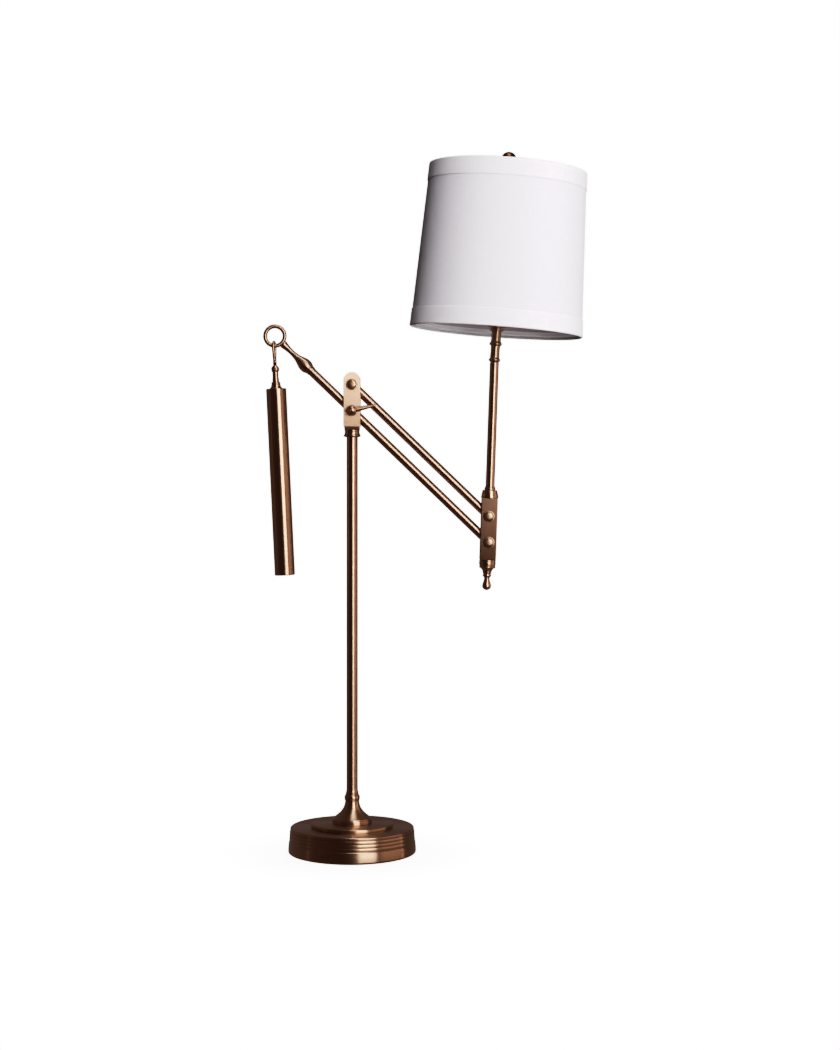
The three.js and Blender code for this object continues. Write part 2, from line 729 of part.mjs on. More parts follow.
function lampholderNeck() {
  const bore = 2.9;
  return turned([
    [bore, -7],
    [3.4, -7],
    [3.4, -2.4],
    ...flow([[5.4, -2.4], [6.6, 0], [5.5, 2.4]], 3),
    [5.75, 2.7],
    [5.3, 16.4],
    ...flow([[5.9, 16.8], [7.35, 19], [5.9, 21.2]], 3),
    [5.75, 21.6],
    [5.75, 33.6],
    [8, 34.4],
    [8, 36.6],
    [5.2, 37],
    [5.2, 38],
    [10.5, 38.4],
    [10.5, SADDLE_HEIGHT - GAP],
    [4.5, SADDLE_HEIGHT - GAP],
    [4.5, 50],
    [bore, 50],
    [bore, -7],
  ]);
}

function harpSaddle() {
  const top = SADDLE_HEIGHT + SADDLE_SHEET;
  const strip = box(2 * SADDLE_REACH + SADDLE_SHEET, 12, SADDLE_HEIGHT, top);
  const ear = () => box(SADDLE_SHEET, 4, top - 0.5, top + 10);
  const ears = [-SADDLE_REACH, SADDLE_REACH].map((x) => ear().translate(x, 0, 0));
  return cut(joined(strip, ...ears), rod(4.8, SADDLE_HEIGHT - 1, top + 1));
}

function socketCap() {
  const bottom = SADDLE_HEIGHT + SADDLE_SHEET + GAP;
  return turned([
    [4.8, bottom],
    [12, bottom],
    [SOCKET_RADIUS, bottom + 4.2],
    [SOCKET_RADIUS, SOCKET_SEAM],
    [SOCKET_RADIUS - SOCKET_WALL, SOCKET_SEAM],
    [SOCKET_RADIUS - SOCKET_WALL, bottom + 4.8],
    [11.5, bottom + 1.3],
    [4.8, bottom + 1.3],
    [4.8, bottom],
  ]);
}

function socketShell() {
  const tube = ring(SOCKET_RADIUS, SOCKET_RADIUS - SOCKET_WALL, SOCKET_SEAM + SEAT, SOCKET_TOP);
  const keyHole = towardsFront(rod(2.4, SOCKET_RADIUS - 4, SOCKET_RADIUS + 4, WIRE));
  return cut(tube, keyHole.translate(0, 0, KEY_HEIGHT));
}

// A flat thumb key on a short shaft through the socket's side.
function switchKey() {
  const shaft = towardsFront(rod(1.9, 9, 22, WIRE));
  const thumb = new THREE.BoxGeometry(13, 9, 3).translate(0, -26, 0);
  return joined(shaft, thumb).translate(0, 0, KEY_HEIGHT);
}

// A blown envelope, open at the neck where it is cemented into the base.
function bulbGlass() {
  const globeCentre = 145;
  const globe = 30;
  const glass = 1.2;
  const outside = [
    [14, 92.4],
    ...flow([[14, 97], [17.5, 110], [24.5, 125], [29, 137]], 4),
    ...arc(0, globeCentre, globe, -4, 90, 5),
  ];
  const inside = [
    ...arc(0, globeCentre, globe - glass, 90, 0, 3),
    [17, 112],
    [14 - glass, 97],
    [14 - glass, 92.4],
    [14, 92.4],
  ];
  return turned([...outside, ...inside]);
}

function harp() {
  const halfLoop = [[31.1, 45], [31.3, 62], [42, 88], [51, 116], [52, 142], [46, 170], [32, 194], [14, 207]];
  const bend = (x, height) => new THREE.Vector3(x + SHADE_SHIFT * (height / HARP_TOP), 0, height);
  const right = halfLoop.map(([x, height]) => bend(x, height));
  const left = halfLoop.map(([x, height]) => bend(-x, height)).reverse();
  const top = HARP_TOP - HARP_WIRE;
  const seat = HUB_HEIGHT - GAP;
  const stud = turned([[0, top], [6, top], [6, seat], [3, seat], [3, 226], [0, 226]], SMALL);
  return joined(wire([...right, bend(0, top), ...left], HARP_WIRE, 32), stud.translate(SHADE_SHIFT, 0, 0));
}

function addLampholder(head) {
  place(head, 'lampholder_neck', lampholderNeck(), copper);
  place(head, 'harp_saddle', harpSaddle(), steel);
  place(head, 'socket_cap', socketCap(), darkBronze);
  place(head, 'socket_shell', socketShell(), darkBronze);
  place(head, 'switch_key', switchKey(), blackPlastic);
  place(head, 'bulb_base', rod(13, 67, 92, TURNED), steel);
  place(head, 'bulb_glass', bulbGlass(), bulbWhite);
  place(head, 'harp', harp(), steel);
}

// ---------- shade ----------

// Outer radius of the fabric at a height along the lampholder's axis.
function fabricRadius(height) {
  const share = (height - SHADE_BOTTOM) / (SHADE_TOP - SHADE_BOTTOM);
  return SHADE_BOTTOM_RADIUS - TRIM_STAND + share * (SHADE_TOP_RADIUS - SHADE_BOTTOM_RADIUS);
}

// A conical band that follows the fabric, between two heights and two distances out from its face.
function band(bottom, top, inner, outer) {
  return turned(
    [
      [fabricRadius(bottom) + inner, bottom],
      [fabricRadius(bottom) + outer, bottom],
      [fabricRadius(top) + outer, top],
      [fabricRadius(top) + inner, top],
      [fabricRadius(bottom) + inner, bottom],
    ],
    FINE,
  );
}

function shadeRing(height) {
  const radius = fabricRadius(height) - FABRIC_THICKNESS - GAP - SHADE_WIRE;
  return new THREE.TorusGeometry(radius, SHADE_WIRE, WIRE, 33).translate(0, 0, height);
}

function shadeSpider() {
  const height = SHADE_TOP - 3;
  const reach = fabricRadius(height) - FABRIC_THICKNESS - GAP - SHADE_WIRE;
  const hubMiddle = HUB_HEIGHT + HUB_THICKNESS / 2;
  const arms = [90, 210, 330].map((degrees) => {
    const points = [[10, hubMiddle], [reach - 12, hubMiddle + 1], [reach, height]].map(
      ([radius, z]) => new THREE.Vector3(radius, 0, z),
    );
    return wire(points, SHADE_WIRE - 0.1, 4).rotateZ(degrees * DEGREE);
  });
  const hub = ring(12, 4.3, HUB_HEIGHT, HUB_HEIGHT + HUB_THICKNESS, TURNED);
  return joined(shadeRing(height), hub, ...arms);
}

function shadeFinial() {
  const bottom = HUB_HEIGHT + HUB_THICKNESS + GAP;
  return turned([
    [0, 227.5],
    [PIN_HOLE, 227.5],
    [PIN_HOLE, bottom],
    [7, bottom],
    [7, 219.4],
    ...flow([[5, 220.6], [4.3, 223], [4.4, 226]], 3),
    ...arc(0, 236.6, 9.3, -58, 90, 6),
  ]);
}

function addShade(head) {
  const shade = new THREE.Group();
  shade.position.x = SHADE_SHIFT;
  head.add(shade);
  const inner = TRIM_STAND - TRIM_THICKNESS;
  place(shade, 'shade_cover', band(SHADE_BOTTOM, SHADE_TOP, -FABRIC_THICKNESS, 0), linen);
  place(shade, 'shade_bottom_trim', band(SHADE_BOTTOM, SHADE_BOTTOM + TRIM_HEIGHT, inner, TRIM_STAND), linen);
  place(shade, 'shade_top_trim', band(SHADE_TOP - TRIM_HEIGHT, SHADE_TOP, inner, TRIM_STAND), linen);
  place(shade, 'shade_bottom_ring', shadeRing(SHADE_BOTTOM + 3), whiteWire);
  place(shade, 'shade_spider', shadeSpider(), whiteWire);
  place(shade, 'shade_finial', shadeFinial(), darkBronze);
}

// ---------- the whole lamp ----------

function deskLamp() {
  const lamp = new THREE.Group();
  addBase(lamp);
  addYoke(lamp);
  addArms(lamp);
  addCounterweight(lamp);
  const bracket = addBracket(lamp);
  const head = new THREE.Group();
  head.position.z = HEAD_HEIGHT;
  head.rotation.y = HEAD_LEAN;
  bracket.add(head);
  addLampholder(head);
  addShade(head);
  return lamp;
}

export default deskLamp();
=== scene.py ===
"""Looks of a balance-arm desk lamp: satin antique copper, a white linen drum shade and its studio.

Lengths are in millimetres, and MM turns them into Blender's metres. Each piece is made in a local
frame of its own, with Z along its axis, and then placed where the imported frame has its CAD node.
"""

import json
from math import atan2, cos, hypot, pi, sin, tan

import bmesh
import bpy
import numpy as np
from mathutils import Matrix, Vector


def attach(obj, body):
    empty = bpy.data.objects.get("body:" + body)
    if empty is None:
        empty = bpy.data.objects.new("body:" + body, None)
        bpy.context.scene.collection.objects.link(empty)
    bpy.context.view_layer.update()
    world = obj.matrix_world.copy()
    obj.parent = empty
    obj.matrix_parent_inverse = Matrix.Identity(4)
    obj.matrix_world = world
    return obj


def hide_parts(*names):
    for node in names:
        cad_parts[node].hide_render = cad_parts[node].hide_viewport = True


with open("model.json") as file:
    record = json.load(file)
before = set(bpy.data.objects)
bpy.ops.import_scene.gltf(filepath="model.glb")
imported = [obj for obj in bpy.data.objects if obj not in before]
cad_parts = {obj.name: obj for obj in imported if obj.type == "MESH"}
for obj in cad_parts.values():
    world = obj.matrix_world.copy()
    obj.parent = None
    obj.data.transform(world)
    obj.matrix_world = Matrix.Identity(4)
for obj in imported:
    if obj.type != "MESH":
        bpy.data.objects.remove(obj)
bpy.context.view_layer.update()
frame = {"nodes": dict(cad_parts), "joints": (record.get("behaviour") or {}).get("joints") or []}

MM = 0.001
DEGREE = pi / 180

# ----- driving dimensions, as on the CAD model -----

BASE_RADIUS = 75.2
BASE_TOP_RADIUS = 72.8
BASE_HEIGHT = 31
BASE_SEAM = 14.5
RIDGES = 4
STEP_RADIUS = 48.5
STEP_TOP = 35.5
FOOT_RADIUS = 23.4
FOOT_TOP = 69.8
NIPPLE_HOLE = 5.2
FELT_RADIUS = 70.9
FELT_THICKNESS = 3
BUSHING_HEIGHT = 8.3

COLUMN_RADIUS = 6.5
COLUMN_BORE = 5.3
COLLAR_BOTTOM = 490
COLLAR_TOP = 498.5

CHEEK_INNER = 6.4
CHEEK_THICKNESS = 3
CHEEK_MIDDLE = CHEEK_INNER + CHEEK_THICKNESS / 2
CHEEK_OUTER = CHEEK_INNER + CHEEK_THICKNESS
YOKE_SHOULDER = 502.4
YOKE_TOP = 566.2
YOKE_WIDTH = 19.8
PIN_RADIUS = 3
PIN_HOLE = 3.3
KNOB_RADIUS = 5.8
KNOB_HEIGHT = 5
KNOB_SEAT = CHEEK_OUTER + 0.3
SHANK_END = -(KNOB_SEAT + 2.6)
LEVER_SHANK_END = -14

ARM_LENGTH = 223.45
TAIL_LENGTH = 126.6
ARM_RADIUS = 5
ARM_BORE = 4.2
EYE_RADIUS = 7
SPIGOT_RADIUS = 3.9
RING_RADIUS = 11.5
RING_WIRE = 2.3

WEIGHT_LEAN = -2.7
BEAD_RADIUS = 4.9
LINK_WIRE = 1.6
LINK_HALF_WIDTH = 5
LINK_HEIGHT = 31.9
LINK_YAW = -8
LINK_SHANK = 2
TANG_THICKNESS = 3.4
HINGE_PIN = 1
CYLINDER_RADIUS = 11.85
CYLINDER_TOP = -23.1
CYLINDER_LENGTH = 220

LEVER_ANGLE = 12
LEVER_LENGTH = 28.5

STEM_LEAN = 2
BRACKET_WIDTH = 18.9
BRACKET_HALF_HEIGHT = 36.35
STEM_RADIUS = 5.2
STEM_BOTTOM = 50.9
HEAD_HEIGHT = 199.56
HEAD_LEAN = 2.3

SHADE_BOTTOM = 33
SHADE_TOP = 226.2
SHADE_BOTTOM_RADIUS = 102.1
SHADE_TOP_RADIUS = 93.2
SHADE_SHIFT = -0.8
TRIM_STAND = 0.8
TRIM_HEIGHT = 20.5
SHADE_SIDES = 192
FABRIC_THICKNESS = 1.2
SHADE_WIRE = 1.3
HUB_HEIGHT = 215
HUB_THICKNESS = 2.5
HARP_WIRE = 1.75
HARP_TOP = 212
SADDLE_HEIGHT = 42.3
SADDLE_REACH = 28
SADDLE_SHEET = 1.3
SOCKET_RADIUS = 16.6
SOCKET_WALL = 1.2
SOCKET_SEAM = 56
SOCKET_TOP = 94
KEY_HEIGHT = 62

# ----- frames -----


def joint_point(name):
    """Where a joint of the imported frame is, in millimetres."""
    joint = next(j for j in frame["joints"] if j["name"] == name)
    return Vector(joint["pos_m"]) / MM


def shift(x=0, y=0, z=0):
    return Matrix.Translation((x, y, z))


def rotation(degrees, axis):
    return Matrix.Rotation(degrees * DEGREE, 4, axis)


def lean(point, degrees):
    """A frame at a point, turned about Y so that its Z axis leans towards +X."""
    return Matrix.Translation(point) @ rotation(degrees, "Y")


LOWER_PIVOT = joint_point("arm_lift")
UPPER_PIVOT = joint_point("upper_arm_pivot")
FAR_PIVOT = joint_point("shade_level")
PIVOT_SPACING = UPPER_PIVOT.z - LOWER_PIVOT.z
BRACKET_CENTRE = FAR_PIVOT + Vector((0, 0, PIVOT_SPACING / 2))
ARM_SLOPE = atan2(LOWER_PIVOT.z - FAR_PIVOT.z, FAR_PIVOT.x - LOWER_PIVOT.x) / DEGREE

WORLD = Matrix.Identity(4)
LOWER_ARM = lean(LOWER_PIVOT, ARM_SLOPE)  # local X runs along the arm, towards the shade
UPPER_ARM = lean(UPPER_PIVOT, ARM_SLOPE)
HANGING = lean(joint_point("weight_swing"), WEIGHT_LEAN)
BRACKET = lean(BRACKET_CENTRE, STEM_LEAN)
HEAD = BRACKET @ lean(Vector((0, 0, HEAD_HEIGHT)), HEAD_LEAN)
SHADE = HEAD @ shift(x=SHADE_SHIFT)
ALONG_X = rotation(90, "Y")
ALONG_MINUS_X = rotation(-90, "Y")
TO_FRONT = rotation(90, "X")
TO_BACK = rotation(-90, "X")

# ----- profiles -----


def circle(radius, count):
    angles = [2 * pi * i / count for i in range(count)]
    return [(radius * cos(a), radius * sin(a)) for a in angles]


def arc(radius_at, height_at, radius, start, end, steps):
    """Profile points on an arc, with the angles measured from the outward direction."""
    angles = [(start + (end - start) * i / steps) * DEGREE for i in range(steps + 1)]
    return [(radius_at + radius * cos(a), height_at + radius * sin(a)) for a in angles]


def flow(points, steps):
    """Profile points on a smooth curve through a few points."""
    p = [Vector(q) for q in points]
    p = [2 * p[0] - p[1], *p, 2 * p[-1] - p[-2]]
    spans = len(points) - 1
    made = []
    for i in range(steps + 1):
        at = spans * i / steps
        k = min(int(at), spans - 1)
        t = at - k
        a, b, c, d = p[k : k + 4]
        q = 2 * b + (c - a) * t + (2 * a - 5 * b + 4 * c - d) * t**2 + (3 * b - a - 3 * c + d) * t**3
        made.append((q.x / 2, q.y / 2))
    return made


def softened(points, radius, steps=3, closed=False):
    """The same outline with every sharp corner rounded off."""
    p = [Vector(q) for q in points]
    p = [q for i, q in enumerate(p) if i == 0 or (q - p[i - 1]).length > 1e-4]
    if closed and (p[0] - p[-1]).length < 1e-4:
        p.pop()
    made = []
    for i, q in enumerate(p):
        before, after = p[i - 1] - q, p[(i + 1) % len(p)] - q
        end = not closed and i in (0, len(p) - 1)
        turn = pi - before.angle(after) if not end else 0
        if turn < 20 * DEGREE:
            made.append(tuple(q))
            continue
        reach = min(radius * tan(turn / 2), 0.45 * before.length, 0.45 * after.length)
        a, c = q + before.normalized() * reach, q + after.normalized() * reach
        for k in range(steps + 1):
            t = k / steps
            made.append(tuple((1 - t) ** 2 * a + 2 * t * (1 - t) * q + t**2 * c))
    return made


# ----- meshes, in millimetres -----


def configured(thing, **settings):
    for key, value in settings.items():
        setattr(thing, key, value)
    return thing


def added(name, data):
    """A new object in the scene."""
    made = bpy.data.objects.new(name, data)
    bpy.context.scene.collection.objects.link(made)
    return made


def evaluated(made, *helpers):
    """An object's mesh with its modifiers applied. The object and its helpers are then deleted."""
    graph = bpy.context.evaluated_depsgraph_get()
    mesh = bpy.data.meshes.new_from_object(made.evaluated_get(graph), depsgraph=graph)
    for o in (made, *helpers):
        bpy.data.objects.remove(o)
    return mesh


def mesh_of(vertices, faces, uvs):
    """A mesh with UVs given per face corner, its faces turned outwards."""
    mesh = bpy.data.meshes.new("shape")
    mesh.from_pydata(vertices, [], faces)
    layer = mesh.uv_layers.new(name="UVMap")
    layer.data.foreach_set("uv", [x for face in uvs for corner in face for x in corner])
    return outward(mesh)


def outward(mesh, merge=0):
    """Turns the faces outwards. merge is how close two points are when they become one."""
    shape = bmesh.new()
    shape.from_mesh(mesh)
    if merge:
        bmesh.ops.remove_doubles(shape, verts=shape.verts, dist=merge)
    bmesh.ops.recalc_face_normals(shape, faces=shape.faces)
    shape.to_mesh(mesh)
    shape.free()
    return mesh


def turned(profile, sides=64, closed=False):
    """A turned shape about Z. The profile ends on the axis, or is closed on itself."""
    widest = max(radius for radius, _ in profile)
    along = [0.0]
    for (r0, z0), (r1, z1) in zip(profile, profile[1:]):
        along.append(along[-1] + hypot(r1 - r0, z1 - z0))
    vertices, rows = [], []
    for radius, height in profile:
        if radius < 1e-5:
            rows.append([len(vertices)] * (sides + 1))
            vertices.append((0, 0, height))
            continue
        first = len(vertices)
        for i in range(sides):
            angle = 2 * pi * i / sides + pi / 2
            vertices.append((radius * cos(angle), radius * sin(angle), height))
        rows.append([first + i for i in range(sides)] + [first])
    spans = [(k, k + 1) for k in range(len(profile) - 1)]
    if closed:
        spans.append((len(profile) - 1, 0))
        along.append(along[-1] + 1)
    faces, uvs = [], []
    for low, high in spans:
        v0, v1 = along[low], along[low + 1]
        for i in range(sides):
            u0, u1 = (2 * pi * widest * k / sides for k in (i, i + 1))
            corners = [(rows[low][i], u0, v0), (rows[low][i + 1], u1, v0)]
            corners += [(rows[high][i + 1], u1, v1), (rows[high][i], u0, v1)]
            kept = [c for k, c in enumerate(corners) if c[0] != corners[k - 1][0]]
            if len(kept) > 2:
                faces.append([c[0] for c in kept])
                uvs.append([c[1:] for c in kept])
    return mesh_of(vertices, faces, uvs)


def lathe(profile, softening=0.2, sides=64):
    """A solid turned shape with its corners rounded off."""
    return turned(softened(profile, softening), sides)


def lathe_ring(profile, softening=0.2, sides=64):
    """A turned shape with a bore, its corners rounded off."""
    return turned(softened(profile, softening, closed=True), sides, closed=True)


def rod(radius, bottom, top, sides=40, softening=0):
    """A round bar, with square ends where there is no softening."""
    outline = [(0, bottom), (radius, bottom), (radius, top), (0, top)]
    return lathe(outline, softening, sides) if softening else turned(outline, sides)


def pipe(outer, bore, bottom, top):
    """A tube with softened ends."""
    return lathe_ring([(bore, bottom), (outer, bottom), (outer, top), (bore, top)], 0.25, 48)


def swept(points, radius, sides, closed=False):
    """A round wire along a list of points."""
    p = [Vector(q) for q in points]
    count = len(p)
    tangents = []
    for i in range(count):
        before = p[i - 1] if i or closed else p[0]
        after = p[(i + 1) % count] if closed or i < count - 1 else p[-1]
        tangents.append((after - before).normalized())
    side = tangents[0].orthogonal().normalized()
    vertices, along = [], [0.0]
    for i in range(count):
        side = (side - side.dot(tangents[i]) * tangents[i]).normalized()
        other = tangents[i].cross(side)
        for k in range(sides):
            angle = 2 * pi * k / sides
            vertices.append(p[i] + radius * (cos(angle) * side + sin(angle) * other))
        along.append(along[-1] + (p[(i + 1) % count] - p[i]).length)
    faces, uvs = [], []
    for i in range(count if closed else count - 1):
        j = (i + 1) % count
        for k in range(sides):
            m = (k + 1) % sides
            faces.append([i * sides + k, i * sides + m, j * sides + m, j * sides + k])
            u0, u1 = (2 * pi * radius * q / sides for q in (k, k + 1))
            uvs.append([(u0, along[i]), (u1, along[i]), (u1, along[i + 1]), (u0, along[i + 1])])
    if not closed:
        for first in (0, (count - 1) * sides):
            faces.append([first + k for k in range(sides)])
            uvs.append([(vertices[first + k].x, vertices[first + k].y) for k in range(sides)])
    return mesh_of(vertices, faces, uvs)


def smooth_path(points, steps):
    """Points in space on a smooth curve through a few points."""
    axes = [flow(list(enumerate(values)), steps) for values in zip(*points)]
    return [Vector([value for _, value in point]) for point in zip(*axes)]


def plate(outline, holes, thickness, edge):
    """A plate in the XZ plane, centred on it, with holes and rounded edges."""
    curve = configured(bpy.data.curves.new("plate", "CURVE"), dimensions="2D", fill_mode="BOTH")
    configured(curve, extrude=thickness / 2 - edge, bevel_depth=edge, bevel_resolution=3, offset=-edge)
    for loop in [outline, *holes]:
        spline = curve.splines.new("POLY")
        spline.points.add(len(loop) - 1)
        spline.points.foreach_set("co", [x for q in loop for x in (q[0], q[1], 0, 1)])
        spline.use_cyclic_u = True
    mesh = moved(evaluated(added("plate", curve)), TO_FRONT)
    return flat_uvs(outward(mesh, merge=1e-3))


def flat_uvs(mesh):
    """UVs in millimetres straight off X and Z, for brushed plates and blocks."""
    layer = mesh.uv_layers.get("UVMap") or mesh.uv_layers.new(name="UVMap")
    for loop in mesh.loops:
        point = mesh.vertices[loop.vertex_index].co
        layer.data[loop.index].uv = (point.x + 0.3 * point.y, point.z + 0.1 * point.y)
    return mesh


def block(width, depth, bottom, top, edge=0.4):
    """A box on the Z axis with rounded edges."""
    shape = bmesh.new()
    bmesh.ops.create_cube(shape, size=1)
    size = Matrix.Diagonal((width, depth, top - bottom, 1))
    bmesh.ops.transform(shape, matrix=shift(z=(bottom + top) / 2) @ size, verts=shape.verts)
    bmesh.ops.bevel(shape, geom=shape.edges[:], offset=edge, segments=3, affect="EDGES", profile=0.5)
    mesh = bpy.data.meshes.new("block")
    shape.to_mesh(mesh)
    shape.free()
    return flat_uvs(mesh)


def combined(first, second, operation="UNION"):
    """Two closed meshes as one solid, by Blender's exact boolean."""
    made, other = added("part", first), added("part", second)
    modifier = made.modifiers.new("join", "BOOLEAN")
    configured(modifier, operation=operation, solver="EXACT", object=other)
    return evaluated(made, other)


def moved(mesh, matrix):
    mesh.transform(matrix)
    return mesh


# ----- pieces -----


def values_of(items, key, width, kind=np.float32):
    """One value of every vertex or edge, as the rows of an array."""
    values = np.empty(len(items) * width, kind)
    items.foreach_get(key, values)
    return values.reshape(-1, width)


def mark_wear(mesh):
    """Stores where hands and polish reach: 1 at a point on an edge, down to -1 in a groove."""
    points, normals = values_of(mesh.vertices, "co", 3), values_of(mesh.vertices, "normal", 3)
    count = len(points)
    a, b = values_of(mesh.edges, "vertices", 2, np.int32).T
    step = points[b] - points[a]
    step /= np.maximum(np.linalg.norm(step, axis=1), 1e-9)[:, None]
    total, used = np.zeros(count), np.zeros(count)
    np.add.at(total, a, (step * normals[a]).sum(1))
    np.add.at(total, b, -(step * normals[b]).sum(1))
    np.add.at(used, a, 1)
    np.add.at(used, b, 1)
    bend = -total / np.maximum(used, 1)
    wear = np.clip((np.abs(bend) - 0.05) / 0.1, 0, 1) * np.sign(bend)
    mesh.attributes.new("wear", "FLOAT", "POINT").data.foreach_set("value", wear.astype(np.float32))


def mark_local(mesh):
    """Stores each point's place in the piece's own frame, so that its pattern travels with it."""
    points = values_of(mesh.vertices, "co", 3)
    mesh.attributes.new("local", "FLOAT_VECTOR", "POINT").data.foreach_set("vector", points.ravel())


def piece(name, mesh, place, body, material, *nodes):
    """Places a mesh, gives it its material and says which CAD nodes it stands for."""
    mesh.name = name
    mesh.polygons.foreach_set("use_smooth", [True] * len(mesh.polygons))
    mark_local(mesh)
    mark_wear(mesh)
    mesh.transform(Matrix.Scale(MM, 4) @ place)
    mesh.materials.clear()
    mesh.materials.append(material)
    made = added(name, mesh)
    made.modifiers.new("flat faces stay flat", "WEIGHTED_NORMAL").weight = 80
    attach(made, body)
    if nodes:
        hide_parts(*nodes)
    return made


def pieces(body, place, *rows):
    """Pieces in one place on one body. A row has a name, a mesh, a material and the node it stands for."""
    for name, mesh, material, stands_for in rows:
        piece(name, mesh, place, body, material, stands_for)


# ----- materials -----


def new_material(name):
    material = bpy.data.materials.new(name)
    material.use_nodes = True
    return material, material.node_tree, material.node_tree.nodes["Principled BSDF"]


def node(tree, kind, inputs=(), **settings):
    """Adds a shader node. inputs is pairs of socket and value, or of socket and another node's output."""
    made = configured(tree.nodes.new(f"ShaderNode{kind}"), **settings)
    for key, value in inputs:
        if isinstance(value, bpy.types.NodeSocket):
            tree.links.new(value, made.inputs[key])
        else:
            made.inputs[key].default_value = value
    return made


def attribute(tree, name, output):
    return node(tree, "Attribute", attribute_name=name).outputs[output]


def maths(tree, operation, *values, clamp=False):
    return node(tree, "Math", enumerate(values), operation=operation, use_clamp=clamp).outputs[0]


def blended(tree, factor, first, second, blend="MIX"):
    """Two colours mixed. Sockets 6 and 7 and output 2 are the mix node's colour ones."""
    inputs = [(0, factor), (6, first), (7, second)]
    return node(tree, "Mix", inputs, data_type="RGBA", blend_type=blend).outputs[2]


def dimmed(tree, colour, level):
    """A colour times a number."""
    grey = node(tree, "CombineColor", enumerate([level] * 3)).outputs[0]
    return blended(tree, 1.0, colour, grey, "MULTIPLY")


def scaled(tree, vector, scale):
    inputs = [("Vector", vector), ("Scale", scale)]
    return node(tree, "Mapping", inputs, vector_type="POINT").outputs[0]


def noise(tree, vector, scale, detail=3.0, roughness=0.5):
    inputs = [("Vector", vector), ("Scale", scale), ("Detail", detail), ("Roughness", roughness)]
    return node(tree, "TexNoise", inputs).outputs[0]


def remap(tree, value, low, high, new_low=0.0, new_high=1.0):
    inputs = enumerate([value, low, high, new_low, new_high])
    return node(tree, "MapRange", inputs).outputs[0]


def connect(tree, shader, colour, roughness, relief, **values):
    """Links a material's colour, roughness and relief, and sets its other inputs to plain values.
    relief is the strength of the bump, its depth in metres and the height that drives it."""
    bump = node(tree, "Bump", zip(("Strength", "Distance", "Height"), relief)).outputs[0]
    for key, output in (("Base Color", colour), ("Roughness", roughness), ("Normal", bump)):
        tree.links.new(output, shader.inputs[key])
    for key, value in values.items():
        shader.inputs[key.replace("_", " ")].default_value = value


def brushed_metal(
    name, slot, body, worn, deep, roughness, anisotropic=0.0, across=False,
    relief=0.5, painted_shade_span=None, metallic=1.0,
):
    """Metal with a patina: darker grooves and paler rubbed edges. Brush lines run along U, or along V
    where across is true. The shade heights are two local heights, between which the metal is painted
    darker, from none at the first to full at the second: painted shade, darker towards the bottom."""
    material, tree, shader = new_material(name)
    local = attribute(tree, "local", "Vector")
    wear = attribute(tree, "wear", "Fac")
    uv = node(tree, "UVMap", uv_map="UVMap").outputs[0]
    lines_scale = (1.7, 0.04, 1) if across else (0.04, 1.7, 1)
    lines = noise(tree, scaled(tree, uv, lines_scale), 1.0, 4.0, 0.6)
    cloud = remap(tree, noise(tree, local, 0.03), 0.35, 0.7)
    tone = blended(tree, maths(tree, "MULTIPLY", cloud, 0.12), body, deep)
    tone = blended(tree, maths(tree, "MULTIPLY", wear, -0.9, clamp=True), tone, deep)
    tone = blended(tree, maths(tree, "MULTIPLY", wear, relief, clamp=True), tone, worn)
    # painted shade: the metal is painted darker towards the bottom of the piece, between the two heights
    if painted_shade_span:
        height = node(tree, "SeparateXYZ", [("Vector", local)]).outputs[2]
        tone = blended(tree, remap(tree, height, *painted_shade_span), tone, deep)
    tone = dimmed(tree, tone, remap(tree, lines, 0.2, 0.8, 0.94, 1.05))
    streak = remap(tree, lines, 0.2, 0.8, roughness - 0.015, roughness + 0.015)
    rough = maths(tree, "ADD", streak, maths(tree, "MULTIPLY", cloud, 0.02))
    values = {"Metallic": metallic, "Anisotropic": anisotropic}
    if anisotropic:
        tangent = node(tree, "Tangent", direction_type="UV_MAP", uv_map="UVMap")
        tree.links.new(tangent.outputs[0], shader.inputs["Tangent"])
        values["Anisotropic_Rotation"] = 0.0 if across else 0.25
    connect(tree, shader, tone, rough, (0.12, 0.000005, lines), **values)
    return material


def linen(name, colour, thread=0.62):
    """Plain-weave linen with slubs. UVs are in millimetres, round the shade and up it."""
    material, tree, shader = new_material(name)
    uv = node(tree, "UVMap", uv_map="UVMap").outputs[0]
    parts = node(tree, "SeparateXYZ", [("Vector", uv)])
    turns = 2 * pi / thread
    warp = maths(tree, "SINE", maths(tree, "MULTIPLY", parts.outputs[0], turns))
    weft = maths(tree, "SINE", maths(tree, "MULTIPLY", parts.outputs[1], turns))
    weave = maths(tree, "MULTIPLY", warp, weft)
    slub_up = noise(tree, scaled(tree, uv, (1.3, 0.05, 1)), 1.0)
    slub_round = noise(tree, scaled(tree, uv, (0.05, 1.3, 1)), 1.0)
    slubs = maths(tree, "ADD", slub_up, slub_round)
    fuzz = noise(tree, uv, 2.2)
    height = maths(tree, "ADD", maths(tree, "MULTIPLY", weave, 0.2), maths(tree, "MULTIPLY", slubs, 1.1))
    height = maths(tree, "ADD", height, maths(tree, "MULTIPLY", fuzz, 0.5))
    tone = dimmed(tree, colour, remap(tree, slubs, 0.7, 1.3, 0.955, 1.03))
    rough = remap(tree, fuzz, 0.3, 0.7, 0.85, 0.97)
    values = {"Sheen_Weight": 0.05, "Sheen_Roughness": 0.5, "Specular_IOR_Level": 0.25}
    connect(tree, shader, tone, rough, (0.5, 0.00012, height), **values)
    return material


def plain(name, slot, colour, roughness, scale, variation, strength=0.15, **values):
    """Moulded, cast, painted or felted material: one colour broken up by a fine grain."""
    material, tree, shader = new_material(name)
    place = node(tree, "TexCoord").outputs["Object"]
    grain = noise(tree, place, scale, 5.0, 0.65)
    tone = dimmed(tree, colour, remap(tree, grain, 0.25, 0.75, 1 - variation, 1 + variation))
    rough = remap(tree, grain, 0.25, 0.75, max(roughness - 0.07, 0.02), min(roughness + 0.07, 1))
    connect(tree, shader, tone, rough, (strength, 0.0002, grain), **values)
    return material


